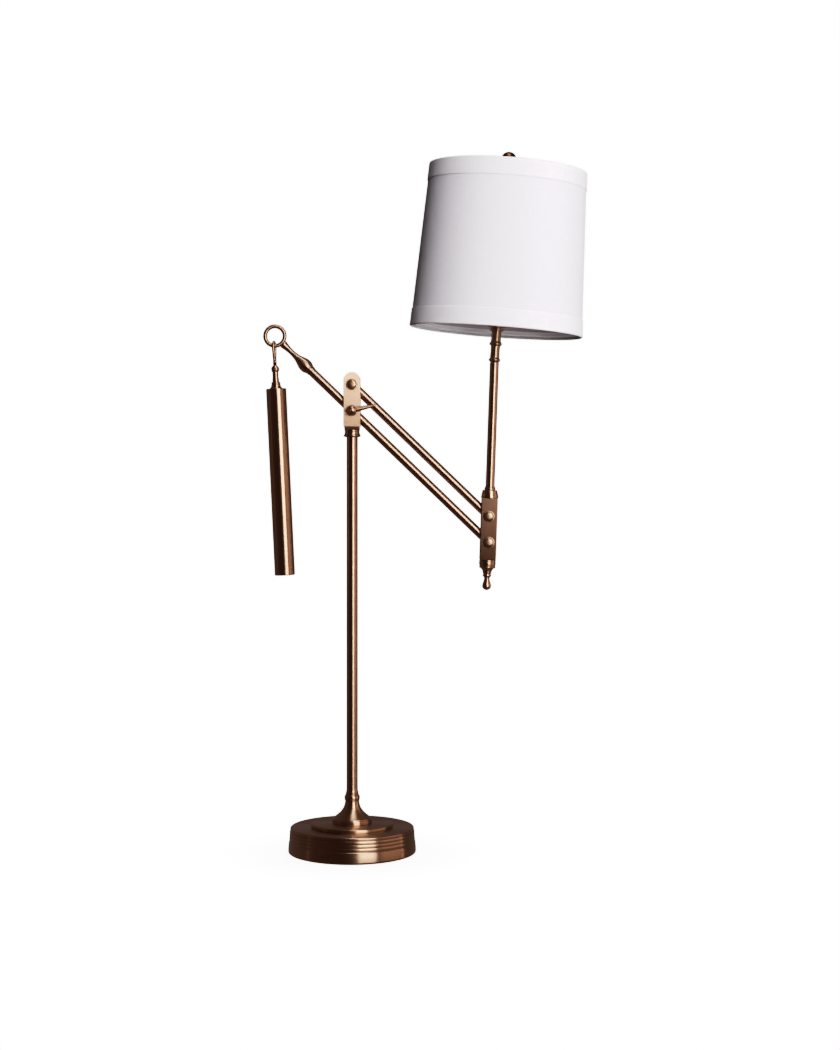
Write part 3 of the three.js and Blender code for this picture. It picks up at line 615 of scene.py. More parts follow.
COPPER = (
    (0.60, 0.41, 0.29, 1),  # the body of the metal
    (0.78, 0.55, 0.42, 1),  # where it is worn
    (0.25, 0.12, 0.07, 1),  # deep in a groove
)
# lit and shaded copies of one copper: the pale one is a painted highlight on the yoke plates, the brown one
# is painted shade on the bracket plates
PALE_LIT_COPPER = ((1.0, 0.68, 0.49, 1), (1.0, 0.75, 0.60, 1), (0.54, 0.33, 0.22, 1))
BROWN_SHADED_COPPER = ((0.34, 0.21, 0.145, 1), (0.6, 0.4, 0.3, 1), (0.12, 0.06, 0.035, 1))
BRONZE = ((0.2, 0.12, 0.08, 1), (0.4, 0.26, 0.18, 1), (0.06, 0.035, 0.025, 1))
STEEL = ((0.62, 0.62, 0.63, 1), (0.8, 0.8, 0.8, 1), (0.25, 0.24, 0.23, 1))
ALUMINIUM = ((0.75, 0.75, 0.74, 1), (0.9, 0.9, 0.9, 1), (0.4, 0.4, 0.4, 1))
# heights between which the yoke plates and the bracket plates are painted darker towards the bottom: painted
# shade
YOKE_PAINTED_SHADE = (560, 488)
BRACKET_PAINTED_SHADE = (30, -44)

copper = brushed_metal("satin antique copper", "antique_copper", *COPPER, 0.3, 0.9)
base_copper = brushed_metal("turned antique copper", "antique_copper", *COPPER, 0.3, 0.9, relief=0.35)
# the yoke plates' paler copper is a painted highlight, and the bracket plates' browner copper is painted
# shade
lit_plate_copper = brushed_metal(
    "pale copper plate with painted highlight", "antique_copper", *PALE_LIT_COPPER, 0.45, 0.85, across=True,
    painted_shade_span=YOKE_PAINTED_SHADE, metallic=0.6,
)
shaded_plate_copper = brushed_metal(
    "brown copper plate with painted shade", "antique_copper", *BROWN_SHADED_COPPER, 0.3, across=True, painted_shade_span=BRACKET_PAINTED_SHADE
)
knob_copper = brushed_metal("turned copper knob", "antique_copper", *COPPER, 0.36, relief=0.25)
bronze = brushed_metal("dark bronze", "dark_bronze", *BRONZE, 0.3)
steel = brushed_metal("plated steel", "steel", *STEEL, 0.28)
thin_metal = brushed_metal("screw cap aluminium", "thin_metal", *ALUMINIUM, 0.3)
cover_linen = linen("white linen", (0.84, 0.81, 0.86, 1))
trim_linen = linen("white linen trim", (0.875, 0.845, 0.88, 1), 0.58)
# painted shade: the lampshade's lining is darkened to the dim grey of the shade inside the lampshade
painted_shade_lining = plain("shade lining", "linen", (0.58, 0.50, 0.50, 1), 0.55, 60, 0.02, 0.05)
felt = plain("black felt", "felt", (0.02, 0.018, 0.017, 1), 0.95, 900, 0.3, 0.8, Sheen_Weight=0.4)
iron = plain("cast iron", "cast_iron", (0.12, 0.12, 0.12, 1), 0.7, 250, 0.15, 0.6, Metallic=0.7)
white_paint = plain("white painted wire", "white_wire", (0.8, 0.79, 0.77, 1), 0.4, 300, 0.03)
plastic = plain("black plastic", "black_plastic", (0.018, 0.018, 0.018, 1), 0.42, 500, 0.08)
jacket = plain("lead jacket", "lead_jacket", (0.03, 0.022, 0.018, 1), 0.55, 400, 0.1)
frosted = plain(
    "frosted bulb glass", "bulb_glass", (0.88, 0.87, 0.84, 1), 0.28, 40, 0.01, 0.03, Coat_Weight=0.4
)

# ----- base and column -----


def base_shell_profile():
    """The spun base: rolled foot, plain band, seam, rounded ridges and the flat top with the last ridge."""
    pitch = (BASE_HEIGHT - BASE_SEAM - 0.3) / RIDGES
    bulge, corner, wall = 0.32, 1.9, 1.5
    ridges = []
    for i in range(RIDGES - 1):
        low = BASE_SEAM + 0.3 + i * pitch
        root = 73.9 - 1.1 * i / RIDGES - bulge
        ridges += [(root + bulge * sin(pi * k / 8) ** 0.8, low + pitch * k / 8) for k in range(9)]
    top_low = BASE_HEIGHT - pitch
    ridges += [(BASE_TOP_RADIUS - 0.45, top_low), (BASE_TOP_RADIUS - 0.1, top_low + 0.9)]
    ridges += arc(BASE_TOP_RADIUS - corner, BASE_HEIGHT - corner, corner, 12, 90, 10)
    band = flow([(BASE_RADIUS, 3.3), (BASE_RADIUS - 0.2, 8), (74.35, BASE_SEAM - 0.7)], 10)
    outside = [(71.3, 0.8), *arc(BASE_RADIUS - 2.5, 3.3, 2.5, -90, 0, 8)[:-1], *band]
    outside += [(74.1, BASE_SEAM - 0.35), (73.5, BASE_SEAM + 0.1)]
    inside = [
        (NIPPLE_HOLE, BASE_HEIGHT), (NIPPLE_HOLE, BASE_HEIGHT - wall),
        (BASE_TOP_RADIUS - wall - 1, BASE_HEIGHT - wall), (BASE_TOP_RADIUS - wall - 0.5, 20), (71.3, 6),
    ]
    return outside + ridges + [(60, BASE_HEIGHT), (50, BASE_HEIGHT)] + inside


def step_disc_profile():
    edge = 1.4
    low = BASE_HEIGHT + 0.1
    outside = [(NIPPLE_HOLE, low), (STEP_RADIUS - 0.5, low), (STEP_RADIUS - 0.5, 31.9), (STEP_RADIUS, 32.2)]
    outside += arc(STEP_RADIUS - edge, STEP_TOP - edge, edge, 0, 90, 8)
    return outside + [(30, STEP_TOP), (NIPPLE_HOLE, STEP_TOP)]


def foot_profile():
    rim = 40.6
    flare = [(22.2, 41.6), (18.6, 44.2), (13.6, 48.6), (10.2, 53.4), (8.5, 58.4), (8.15, 61)]
    bead = [(8.5, 62.3), (9.0, 65.1), (8.5, 67.4), (7.5, 68.8)]
    return [
        (NIPPLE_HOLE, STEP_TOP + 0.1), (FOOT_RADIUS - 0.2, STEP_TOP + 0.1), (FOOT_RADIUS, 36.2),
        *arc(FOOT_RADIUS - 0.9, rim - 0.9, 0.9, 0, 80, 5), *flow(flare, 26), (8.1, 61.6),
        *flow(bead, 12), (7.7, 69.2), (7.7, FOOT_TOP), (NIPPLE_HOLE, FOOT_TOP),
    ]


def column_profile():
    return [
        (COLUMN_BORE, FOOT_TOP + 0.1), (7.3, FOOT_TOP + 0.1), (7.3, 71.6),
        *flow([(6.9, 72.2), (6.6, 74.5), (COLUMN_RADIUS, 78)], 6), (COLUMN_RADIUS, 280),
        (COLUMN_RADIUS, COLLAR_BOTTOM - 0.1), (COLUMN_BORE, COLLAR_BOTTOM - 0.1),
    ]


def collar_profile():
    return [
        (COLUMN_BORE, COLLAR_BOTTOM), (7.4, COLLAR_BOTTOM),
        *flow([(7.6, 490.05), (9.1, 490.5), (9.95, 491.3)], 6),
        *flow([(10.0, 491.7), (9.2, 493.2), (8.75, 494.9), (8.6, 495.9)], 8), (8.3, 496.1), (8.3, 496.5),
        (8.85, 496.8), (8.9, COLLAR_TOP), (COLUMN_BORE, COLLAR_TOP),
    ]


def bushing_profile():
    wall = BASE_RADIUS + 0.3
    flange = [(5, wall), (7, wall), (7, wall + 1.2), (4.6, wall + 2.4)]
    return [(2.9, 70.4), (5, 70.4), *flange, (2.9, wall + 2.4)]


def make_base():
    pieces(
        "base", WORLD,
        ("felt_disc", rod(FELT_RADIUS, 0, FELT_THICKNESS, 96, 0.6), felt, "felt_pad"),
        ("spun_base", lathe_ring(base_shell_profile(), 0.3, 160), base_copper, "base_shell"),
        ("turned_step", lathe_ring(step_disc_profile(), 0.25, 128), base_copper, "step_disc"),
        ("turned_foot", lathe_ring(foot_profile(), 0.3, 96), copper, "column_foot"),
        ("round_column", lathe_ring(column_profile(), 0.25), copper, "column_tube"),
        ("turned_collar", lathe_ring(collar_profile(), 0.25), copper, "column_collar"),
    )
    grommet = lathe_ring(bushing_profile(), 0.4, 40)
    piece("moulded_bushing", grommet, shift(z=BUSHING_HEIGHT) @ TO_BACK, "base", plastic, "cord_bushing")


# ----- yoke -----


def yoke_outline():
    half = YOKE_WIDTH / 2
    centre = YOKE_TOP - half
    return [(-half, YOKE_SHOULDER), (half, YOKE_SHOULDER), *arc(0, centre, half, 0, 180, 32)]


def hole(x, z):
    """The outline of a pin's hole in a plate."""
    return [(x + u, z + v) for u, v in circle(PIN_HOLE, 32)]


def knob_profile(shank_end):
    """A domed knob with its flange, above its seat, and the pin or the pin's hole below."""
    seat = KNOB_SEAT
    if shank_end is None:
        start = [(0, seat + 2.5), (PIN_HOLE, seat + 2.5), (PIN_HOLE, seat)]
    else:
        start = [(0, shank_end), (PIN_RADIUS, shank_end), (PIN_RADIUS, seat)]
    dome = flow([(5.55, 1.2), (KNOB_RADIUS, 2.4), (5.0, 3.9), (3.0, 4.75), (0.9, KNOB_HEIGHT)], 18)
    dome = [(radius, seat + height) for radius, height in dome]
    flange = KNOB_RADIUS + 0.7
    return [*start, (flange, seat), (flange, seat + 0.7), (5.2, seat + 0.95), *dome, (0, seat + KNOB_HEIGHT)]


def make_knob(name, place, body, stands_for, shank_end=None):
    """A bolt's dome with its shank, or a cap nut where there is no shank."""
    piece(name, lathe(knob_profile(shank_end), 0.2, 48), place, body, knob_copper, stands_for)


def knob_and_nut(name, place, body, stands_for):
    make_knob(f"{name}_knob", place @ TO_FRONT, body, f"{stands_for}_bolt", SHANK_END)
    make_knob(f"{name}_cap_nut", place @ TO_BACK, body, f"{stands_for}_nut")


def plate_pair(name, outline, holes, edge, place, body, material, stands_for):
    """A plate in front of the pivots and one behind."""
    for side, y in (("front", -CHEEK_MIDDLE), ("rear", CHEEK_MIDDLE)):
        mesh = plate(outline, holes, CHEEK_THICKNESS, edge)
        piece(f"{name}_{side}", mesh, place @ shift(y=y), body, material, stands_for.format(side))


def make_lever():
    depth = 14.6
    boss = [(0, depth), (PIN_HOLE, depth), (PIN_HOLE, 10.9), (4.6, 10.9), *arc(0, depth, 5.9, -38, 89, 18)]
    boss = lathe([*boss, (0, depth + 5.9)], 0.3, 48)
    grip = flow([(3.1, 4.6), (2.95, 8), (2.4, 15), (1.85, 22), (1.7, 25.4)], 20)
    tip = arc(0, LEVER_LENGTH - 1.9, 1.9, -25, 89, 8)
    handle = turned([(0, 4.2), (3.0, 4.2), *grip, *tip, (0, LEVER_LENGTH)], 40)
    both = combined(moved(boss, TO_FRONT), moved(handle, shift(y=-depth) @ ALONG_X))
    place = lean(LOWER_PIVOT, -LEVER_ANGLE)
    piece("turned_lever", both, place, "lock_lever", copper, "lock_lever")


def make_yoke():
    neck = block(17.7, 2 * CHEEK_OUTER - 0.4, COLLAR_TOP + 0.2, YOKE_SHOULDER - 0.1)
    tongue = block(10, 2 * CHEEK_INNER - 0.2, YOKE_SHOULDER - 1, YOKE_SHOULDER + 4.8, 0.5)
    spigot = rod(COLUMN_BORE - 0.4, COLLAR_BOTTOM - 20, COLLAR_TOP + 1)
    head = combined(combined(neck, tongue), spigot)
    piece("yoke_block", head, WORLD, "column_head", bronze, "head_block")
    holes = [hole(0, LOWER_PIVOT.z), hole(0, UPPER_PIVOT.z)]
    plate_pair("yoke_plate", yoke_outline(), holes, 0.45, WORLD, "column_head", lit_plate_copper, "{}_cheek")
    upper, lower = shift(z=UPPER_PIVOT.z), shift(z=LOWER_PIVOT.z)
    knob_and_nut("upper", upper, "column_head", "upper_pivot")
    make_knob("lower_knob", lower @ TO_BACK, "column_head", "lower_pivot_bolt", LEVER_SHANK_END)
    washer = pipe(6.4, PIN_HOLE, KNOB_SEAT, KNOB_SEAT + 0.9)
    piece("lever_disc", washer, lower @ TO_FRONT, "column_head", copper, "lever_washer")
    make_lever()


# ----- arms -----


def arm_eye(spigots, bore=PIN_HOLE):
    """An eye on a pivot pin with a spigot for each arm tube."""
    half = CHEEK_INNER - 0.3
    outline = [(bore, -half), (EYE_RADIUS - 0.6, -half), (EYE_RADIUS, -half + 0.7)]
    outline += [(EYE_RADIUS, half - 0.7), (EYE_RADIUS - 0.6, half), (bore, half)]
    eye = moved(lathe_ring(outline, 0.3, 48), TO_FRONT)
    for side in spigots:
        spigot = moved(rod(SPIGOT_RADIUS, 5.2, 21), ALONG_X if side > 0 else ALONG_MINUS_X)
        eye = combined(eye, spigot)
    return eye


def end_piece_profile():
    """The turned end of the tail, with heights as minus the distance from the ring's centre."""
    body = [(5.5, -58.9), (5.75, -57.2), (7.05, -54.4), (7.75, -50.9), (7.35, -46.6), (5.7, -41.6)]
    neck = [(4.2, -37.4), (3.25, -31.6), (3.05, -27.0), (3.35, -22.4), (3.9, -18.6), (4.5, -15.8)]
    return [
        (0, -72), (SPIGOT_RADIUS, -72), (SPIGOT_RADIUS, -60.4), (5.5, -60.4), (5.55, -59.5),
        *flow(body + neck, 60), *flow([(4.65, -14.8), (4.6, -13.9), (4.2, -13.1)], 6), (3.6, -13),
        (0, -13),
    ]


def arm_tube(start, stop):
    return pipe(ARM_RADIUS, ARM_BORE, start, stop)


def make_arms():
    start, stop = EYE_RADIUS + 0.3, ARM_LENGTH - EYE_RADIUS - 0.3
    far = shift(x=ARM_LENGTH)
    tail_end = LOWER_ARM @ shift(x=-TAIL_LENGTH)
    path = [(x, 0, z) for x, z in circle(RING_RADIUS, 96)]
    end = moved(lathe(end_piece_profile(), 0.25), ALONG_MINUS_X)
    end = combined(end, swept(path, RING_WIRE + 0.06, 32, closed=True), "DIFFERENCE")
    lower = [
        ("lower_tube", arm_tube(start, stop), LOWER_ARM @ ALONG_X, "lower_arm_tube"),
        ("tail_tube", arm_tube(start, TAIL_LENGTH - 60.5), LOWER_ARM @ ALONG_MINUS_X, "lower_arm_tail"),
        ("lower_hub", arm_eye([1, -1]), LOWER_ARM, "lower_arm_hub"),
        ("lower_far_eye", arm_eye([-1]), LOWER_ARM @ far, "lower_arm_far_eye"),
        ("turned_tail_end", end, tail_end, "arm_end_piece"),
        ("tail_ring", swept(path, RING_WIRE, 32, closed=True), tail_end, "arm_ring"),
    ]
    upper = [
        ("upper_tube", arm_tube(start, stop), UPPER_ARM @ ALONG_X, "upper_arm_tube"),
        ("upper_near_eye", arm_eye([1]), UPPER_ARM, "upper_arm_near_eye"),
        ("upper_far_eye", arm_eye([-1], PIN_RADIUS + 0.8), UPPER_ARM @ far, "upper_arm_far_eye"),
    ]
    for body, parts in (("lower_arm", lower), ("upper_arm", upper)):
        for name, mesh, place, stands_for in parts:
            piece(name, mesh, place, body, copper, stands_for)


# ----- counterweight -----


def spindle_profile():
    return [
        (0, CYLINDER_TOP - 4), (CYLINDER_RADIUS - 1.3, CYLINDER_TOP - 4),
        (CYLINDER_RADIUS - 1.3, CYLINDER_TOP + 0.05), (7.4, CYLINDER_TOP + 0.1), (7.3, -22.3),
        *flow([(6.9, -21.9), (5.9, -20.9), (5.6, -19.9)], 5), (5.6, -18.8), (5.0, -18.4),
        *flow([(5.1, -18.0), (5.35, -16.9), (4.8, -15.6)], 6), (4.0, -15.2),
        *flow([(3.9, -14.8), (3.8, -12.6), (3.45, -9.4), (3.4, -7.4), (3.5, -5.2)], 12),
        *arc(0, 0, BEAD_RADIUS, -46, 89, 20), (0, BEAD_RADIUS),
    ]


def sleeve_profile():
    bottom = CYLINDER_TOP - CYLINDER_LENGTH
    inner = CYLINDER_RADIUS - 1
    return [
        (0, bottom), (8, bottom), *arc(CYLINDER_RADIUS - 0.9, bottom + 0.9, 0.9, -90, 0, 6),
        (CYLINDER_RADIUS, bottom + 110), *arc(CYLINDER_RADIUS - 0.8, CYLINDER_TOP - 0.8, 0.8, 0, 90, 6),
        (inner, CYLINDER_TOP), (inner, bottom + 2), (0, bottom + 2),
    ]


def make_link():
    """The eye that hangs on the ring, with a flat tang that turns on a pin through the bead."""
    middle = LINK_HEIGHT - LINK_HALF_WIDTH
    angles = [i * DEGREE for i in range(-10, 91, 10)]
    crown = [(0, LINK_HALF_WIDTH * sin(a), middle + LINK_HALF_WIDTH * cos(a)) for a in angles]
    leg = [(0, 4.8, 23), (0, 3.9, 18.5), (0, 2.4, 14), (0, 1, 10)]
    halves = [swept(smooth_path(crown + leg, 64), LINK_WIRE, 24) for _ in range(2)]
    eye = combined(halves[0], moved(halves[1], rotation(180, "Z")))
    eye = moved(eye, rotation(LINK_YAW, "Z"))
    shank = turned([(0, 7.4), (1.6, 7.4), *flow([(1.95, 8), (2.05, 10.5), (1.7, 13)], 8), (0, 13.6)], 40)
    knuckle = moved(rod(LINK_SHANK, -TANG_THICKNESS / 2, TANG_THICKNESS / 2), TO_FRONT)
    tang = combined(block(2 * LINK_SHANK, TANG_THICKNESS, 0, 9, 0.3), knuckle)
    reach = BEAD_RADIUS - 0.4
    pin = rod(HINGE_PIN, -reach, reach, 32, 0.2)
    whole = combined(combined(combined(eye, shank), tang), moved(pin, TO_FRONT))
    piece("hanging_eye", whole, HANGING, "hanging_link", copper, "hanging_link")


def make_counterweight():
    make_link()
    pin_hole = moved(rod(HINGE_PIN + 0.3, -9, 9, 32), TO_FRONT)
    bead = combined(lathe(spindle_profile()), pin_hole, "DIFFERENCE")
    slot = block(3 * BEAD_RADIUS, TANG_THICKNESS + 0.6, -LINK_SHANK - 0.3, BEAD_RADIUS + 1, 0.2)
    pieces(
        "counterweight", HANGING,
        ("turned_spindle", combined(bead, slot, "DIFFERENCE"), copper, "counterweight_spindle"),
        ("weight_sleeve", lathe(sleeve_profile(), 0.2, 96), copper, "counterweight_sleeve"),
    )


# ----- far bracket and stem -----


def stem_collar_profile():
    bottom = BRACKET_HALF_HEIGHT + 0.1
    top = STEM_BOTTOM - 0.1
    return [
        (2.5, 29.5), (SPIGOT_RADIUS, 29.5), (SPIGOT_RADIUS, bottom), (10.0, bottom),
        *flow([(10.15, 37.3), (9.95, 39.4), (9.3, 42.4), (8.85, 44.4)], 10), (8.8, 45),
        *flow([(8.7, 45.4), (8.3, 45.8), (7.6, 45.9)], 5), (6.5, 45.9),
        *flow([(6.35, 46.2), (6.55, 47.1), (6.3, 48.4), (5.7, 49.8), (5.5, top)], 12),
        (SPIGOT_RADIUS, top), (SPIGOT_RADIUS, STEM_BOTTOM + 8), (2.5, STEM_BOTTOM + 8),
    ]


def bottom_finial_profile():
    seat = -BRACKET_HALF_HEIGHT - 0.1
    return [
        (0, -71.9), *arc(0, -66.6, 5.3, -89, -8, 16),
        *flow([(4.95, -65.2), (4.2, -62.8), (3.45, -60.2), (3.2, -58.4), (3.45, -56.6)], 14),
        *flow([(4.1, -56.1), (4.8, -55.4), (4.85, -54.2), (4.4, -53.4)], 8), (4.3, -52.9),
        *flow([(4.7, -52.5), (5.1, -51.3), (5.4, -49.6), (6.1, -48), (7.6, -46.3), (8.9, -45.7)], 16),
        *flow([(9.4, -45.4), (9.65, -44.8), (9.4, -44.2)], 6), (9.1, -43.8),
        *flow([(9.2, -43.4), (9.55, -42.2), (9.75, -40.4), (9.8, -38.8)], 8), (9.5, -38.4), (9.5, -37.8),
        (9.8, -37.4), (9.75, seat), (SPIGOT_RADIUS, seat), (SPIGOT_RADIUS, -28), (0, -28),
    ]


def make_bracket():
    body = "shade_carrier"
    half_width, half_height = BRACKET_WIDTH / 2, BRACKET_HALF_HEIGHT
    outline = [(-half_width, -half_height), (half_width, -half_height), (half_width, half_height)]
    outline = softened([*outline, (-half_width, half_height)], 1.1, 5, closed=True)
    across = PIVOT_SPACING / 2 * sin(STEM_LEAN * DEGREE)
    along = PIVOT_SPACING / 2 * cos(STEM_LEAN * DEGREE)
    pivots = {"upper": (-across, along), "lower": (across, -along)}
    holes = [hole(*point) for point in pivots.values()]
    plate_pair("far_plate", outline, holes, 0.5, BRACKET, body, shaded_plate_copper, "bracket_{}_plate")
    for name, low, high in (("top", 29, half_height - 0.1), ("bottom", 0.1 - half_height, -27.5)):
        mesh = block(10, 2 * CHEEK_INNER - 0.2, low, high)
        piece(f"far_block_{name}", mesh, BRACKET, body, bronze, f"bracket_{name}_block")
    for level, (x, z) in pivots.items():
        knob_and_nut(f"far_{level}", BRACKET @ shift(x=x, z=z), body, f"bracket_{level}")
    pieces(
        body, BRACKET,
        ("turned_stem_collar", lathe_ring(stem_collar_profile()), copper, "stem_collar"),
        ("round_stem", pipe(STEM_RADIUS, ARM_BORE, STEM_BOTTOM, HEAD_HEIGHT - 2.9), copper, "stem_tube"),
        ("turned_bottom_finial", lathe(bottom_finial_profile()), copper, "bottom_finial"),
    )


# ----- lampholder -----


def neck_profile():
    bore = 2.9
    return [
        (bore, -7), (3.4, -7), (3.4, -2.6), (5.2, -2.6),
        *flow([(5.5, -2.2), (6.55, -0.6), (6.55, 0.7), (5.6, 2.1)], 10), (5.35, 2.7),
        *flow([(5.5, 3.2), (5.3, 8.5), (5.25, 12.5), (5.5, 16.2)], 10), (5.4, 16.6),
        *flow([(5.9, 16.9), (7.2, 18.2), (7.2, 19.8), (6.1, 21.1)], 10), (5.8, 21.7),
        *flow([(5.85, 22.4), (5.65, 27.5), (5.75, 33.2)], 8), (6.0, 34.0), (7.9, 34.5), (7.9, 36.5),
        (5.3, 37), (5.3, 38), (10.5, 38.4), (10.5, SADDLE_HEIGHT - 0.3), (4.5, SADDLE_HEIGHT - 0.3),
        (4.5, 50), (bore, 50),
    ]


def socket_cap_profile():
    bottom = SADDLE_HEIGHT + SADDLE_SHEET + 0.3
    inner = SOCKET_RADIUS - SOCKET_WALL
    return [
        (4.8, bottom), (11.6, bottom),
        *flow([(12.4, bottom + 0.2), (15.4, bottom + 2.2), (SOCKET_RADIUS, bottom + 5)], 8),
        (SOCKET_RADIUS, SOCKET_SEAM - 2.2), (SOCKET_RADIUS + 0.35, SOCKET_SEAM - 1.8),
        (SOCKET_RADIUS + 0.35, SOCKET_SEAM - 0.9), (SOCKET_RADIUS, SOCKET_SEAM - 0.5),
        (SOCKET_RADIUS, SOCKET_SEAM), (inner, SOCKET_SEAM), (inner, bottom + 4.8), (11.5, bottom + 1.3),
        (4.8, bottom + 1.3),
    ]


def socket_shell_profile():
    bottom = SOCKET_SEAM + 0.1
    inner = SOCKET_RADIUS - SOCKET_WALL
    wall = [(SOCKET_RADIUS, bottom)]
    for groove in (80, 84, 88):
        wall += [(SOCKET_RADIUS - depth, groove + z) for depth, z in ((0, -1.2), (0.45, 0), (0, 1.2))]
    return [(inner, bottom), *wall, (SOCKET_RADIUS, SOCKET_TOP), (inner, SOCKET_TOP)]


def bulb_cap_profile():
    """The screw cap, with its rounded thread."""
    thread = [(13 - 0.55 * (1 - cos(pi * k / 4)), 71 + 0.42 * k) for k in range(44)]
    contact = [(0, 67), (5.2, 67), (5.4, 68.2), (9.5, 69.6), (11.9, 70.4)]
    return [*contact, *thread, (13, 90.4), (13, 92), (0, 92)]


def bulb_glass_profile():
    outside = flow([(14, 92.4), (14, 96), (15.6, 103.5), (20.1, 114.5), (25.7, 126), (29.2, 136.6)], 30)
    outside += arc(0, 145, 30, -13, 89, 34)
    inside = arc(0, 145, 28.8, 89, 0, 16) + [(17, 112), (12.8, 97), (12.8, 92.4)]
    return outside, inside


def harp_mesh():
    half = [(31.1, 45), (31.3, 62), (42, 88), (51, 116), (52, 142), (46, 170), (32, 194), (14, 207)]

    def bend(x, height):
        return (x + SHADE_SHIFT * height / HARP_TOP, 0, height)

    top = HARP_TOP - HARP_WIRE
    path = [bend(*p) for p in half] + [bend(0, top)] + [bend(-x, z) for x, z in reversed(half)]
    loop = swept(smooth_path(path, 160), HARP_WIRE, 20)
    seat = HUB_HEIGHT - 0.3
    threads = [(3 - 0.25 * (k % 2), 217.5 + 0.4 * k) for k in range(21)]
    stud = [(0, top), (6, top), (6, seat), (3, seat), *threads, (2.4, 226), (0, 226)]
    return combined(loop, moved(lathe(stud, 0.2, 32), shift(x=SHADE_SHIFT)))


def make_saddle():
    """The bent strip that holds the harp, with an ear at each end."""
    top = SADDLE_HEIGHT + SADDLE_SHEET
    strip = block(2 * SADDLE_REACH + SADDLE_SHEET, 12, SADDLE_HEIGHT, top, 0.3)
    for x in (-SADDLE_REACH, SADDLE_REACH):
        strip = combined(strip, moved(block(SADDLE_SHEET, 4, top - 0.5, top + 10, 0.3), shift(x=x)))
    strip = combined(strip, rod(4.8, SADDLE_HEIGHT - 2, SADDLE_HEIGHT + 4, 32), "DIFFERENCE")
    piece("bent_saddle", flat_uvs(strip), HEAD, "shade_carrier", steel, "harp_saddle")


def make_switch_key():
    shaft = moved(rod(1.9, 9, 22, 24, 0.3), TO_FRONT)
    key = combined(shaft, moved(block(13, 9, -1.5, 1.5, 1.1), shift(y=-26)))
    piece("thumb_key", flat_uvs(key), HEAD @ shift(z=KEY_HEIGHT), "switch_key", plastic, "switch_key")


def make_lampholder():
    make_saddle()
    make_switch_key()
    shell = lathe_ring(socket_shell_profile(), 0.3)
    key_hole = moved(rod(2.4, 12, 21, 24), shift(z=KEY_HEIGHT) @ TO_FRONT)
    outside, inside = bulb_glass_profile()
    globe = turned([*outside, (0, 175), (0, 173.8), *inside], closed=True)
    pieces(
        "shade_carrier", HEAD,
        ("turned_neck", lathe_ring(neck_profile()), copper, "lampholder_neck"),
        ("spun_socket_cap", lathe_ring(socket_cap_profile(), 0.3), bronze, "socket_cap"),
        ("ribbed_socket_shell", combined(shell, key_hole, "DIFFERENCE"), bronze, "socket_shell"),
        ("screw_cap", lathe(bulb_cap_profile(), 0.15), thin_metal, "bulb_base"),
        ("bulb_envelope", globe, frosted, "bulb_glass"),
        ("wire_harp", harp_mesh(), steel, "harp"),
    )


# ----- shade -----


def fabric_radius(height):
    share = (height - SHADE_BOTTOM) / (SHADE_TOP - SHADE_BOTTOM)
    return SHADE_BOTTOM_RADIUS - TRIM_STAND + share * (SHADE_TOP_RADIUS - SHADE_BOTTOM_RADIUS)


def folded_trim(edge, inward):
    """A folded strip of the cover's cloth that wraps the shade's rim. edge is the rim's height, and inward
    is +1 where the shade's inside lies above the rim and -1 where it lies below."""
    fold, turn_in, cloth = 1.55, 9, 0.35
    stop = edge + inward * TRIM_HEIGHT
    fold_at = fabric_radius(edge) + TRIM_STAND - fold
    inner = fold_at - fold

    def along_cover(stand, heights):
        return [(fabric_radius(edge + inward * z) + stand, edge + inward * z) for z in heights]

    def straight(radius, heights):
        return [(radius, edge + inward * z) for z in heights]

    def over_rim(radius, start, end, steps):
        return [(r, edge + inward * (fold + z)) for r, z in arc(fold_at, 0, radius, start, end, steps)]

    return [
        *along_cover(0.08, [TRIM_HEIGHT]), *along_cover(TRIM_STAND - 0.25, [TRIM_HEIGHT]),
        (fabric_radius(stop) + TRIM_STAND, stop - inward * 0.4), *along_cover(TRIM_STAND, [15, 10, 6]),
        *over_rim(fold, 0, -180, 12), *straight(inner, [4, 7]), *straight(inner + 0.1, [turn_in]),
        *straight(inner + cloth, [turn_in, 6, 3]), *over_rim(fold - cloth, -180, 0, 8),
        *along_cover(0.1, [4, 10, 16]),
    ]


def cloth_sheet(name, profile, material, stands_for):
    mesh = turned(profile, SHADE_SIDES, closed=True)
    made = piece(name, mesh, SHADE, "shade_carrier", material, stands_for)


def make_shade():
    low, high = SHADE_BOTTOM + 1.6, SHADE_TOP - 1.6
    heights = [low + (high - low) * i / 24 for i in range(25)]

    def layer(outer, inner):
        """A layer of the shade's wall, between two depths below its outside."""
        outside = [(fabric_radius(z) - outer, z) for z in heights]
        return outside + [(fabric_radius(z) - inner, z) for z in reversed(heights)]

    linen_depth = 0.75
    cloth_sheet("linen_cover", layer(0, linen_depth), cover_linen, "shade_cover")
    liner = turned(layer(linen_depth + 0.05, FABRIC_THICKNESS), SHADE_SIDES, closed=True)
    piece("styrene_lining", liner, SHADE, "shade_carrier", painted_shade_lining)
    for name, edge, inward in (("bottom", SHADE_BOTTOM, 1), ("top", SHADE_TOP, -1)):
        strip = folded_trim(edge, inward)
        cloth_sheet(f"folded_{name}_trim", strip, trim_linen, f"shade_{name}_trim")


def rim_radius(height):
    return fabric_radius(height) - FABRIC_THICKNESS - 0.3 - SHADE_WIRE


def rim_wire(height):
    return swept([(x, y, height) for x, y in circle(rim_radius(height), 144)], SHADE_WIRE, 12, closed=True)


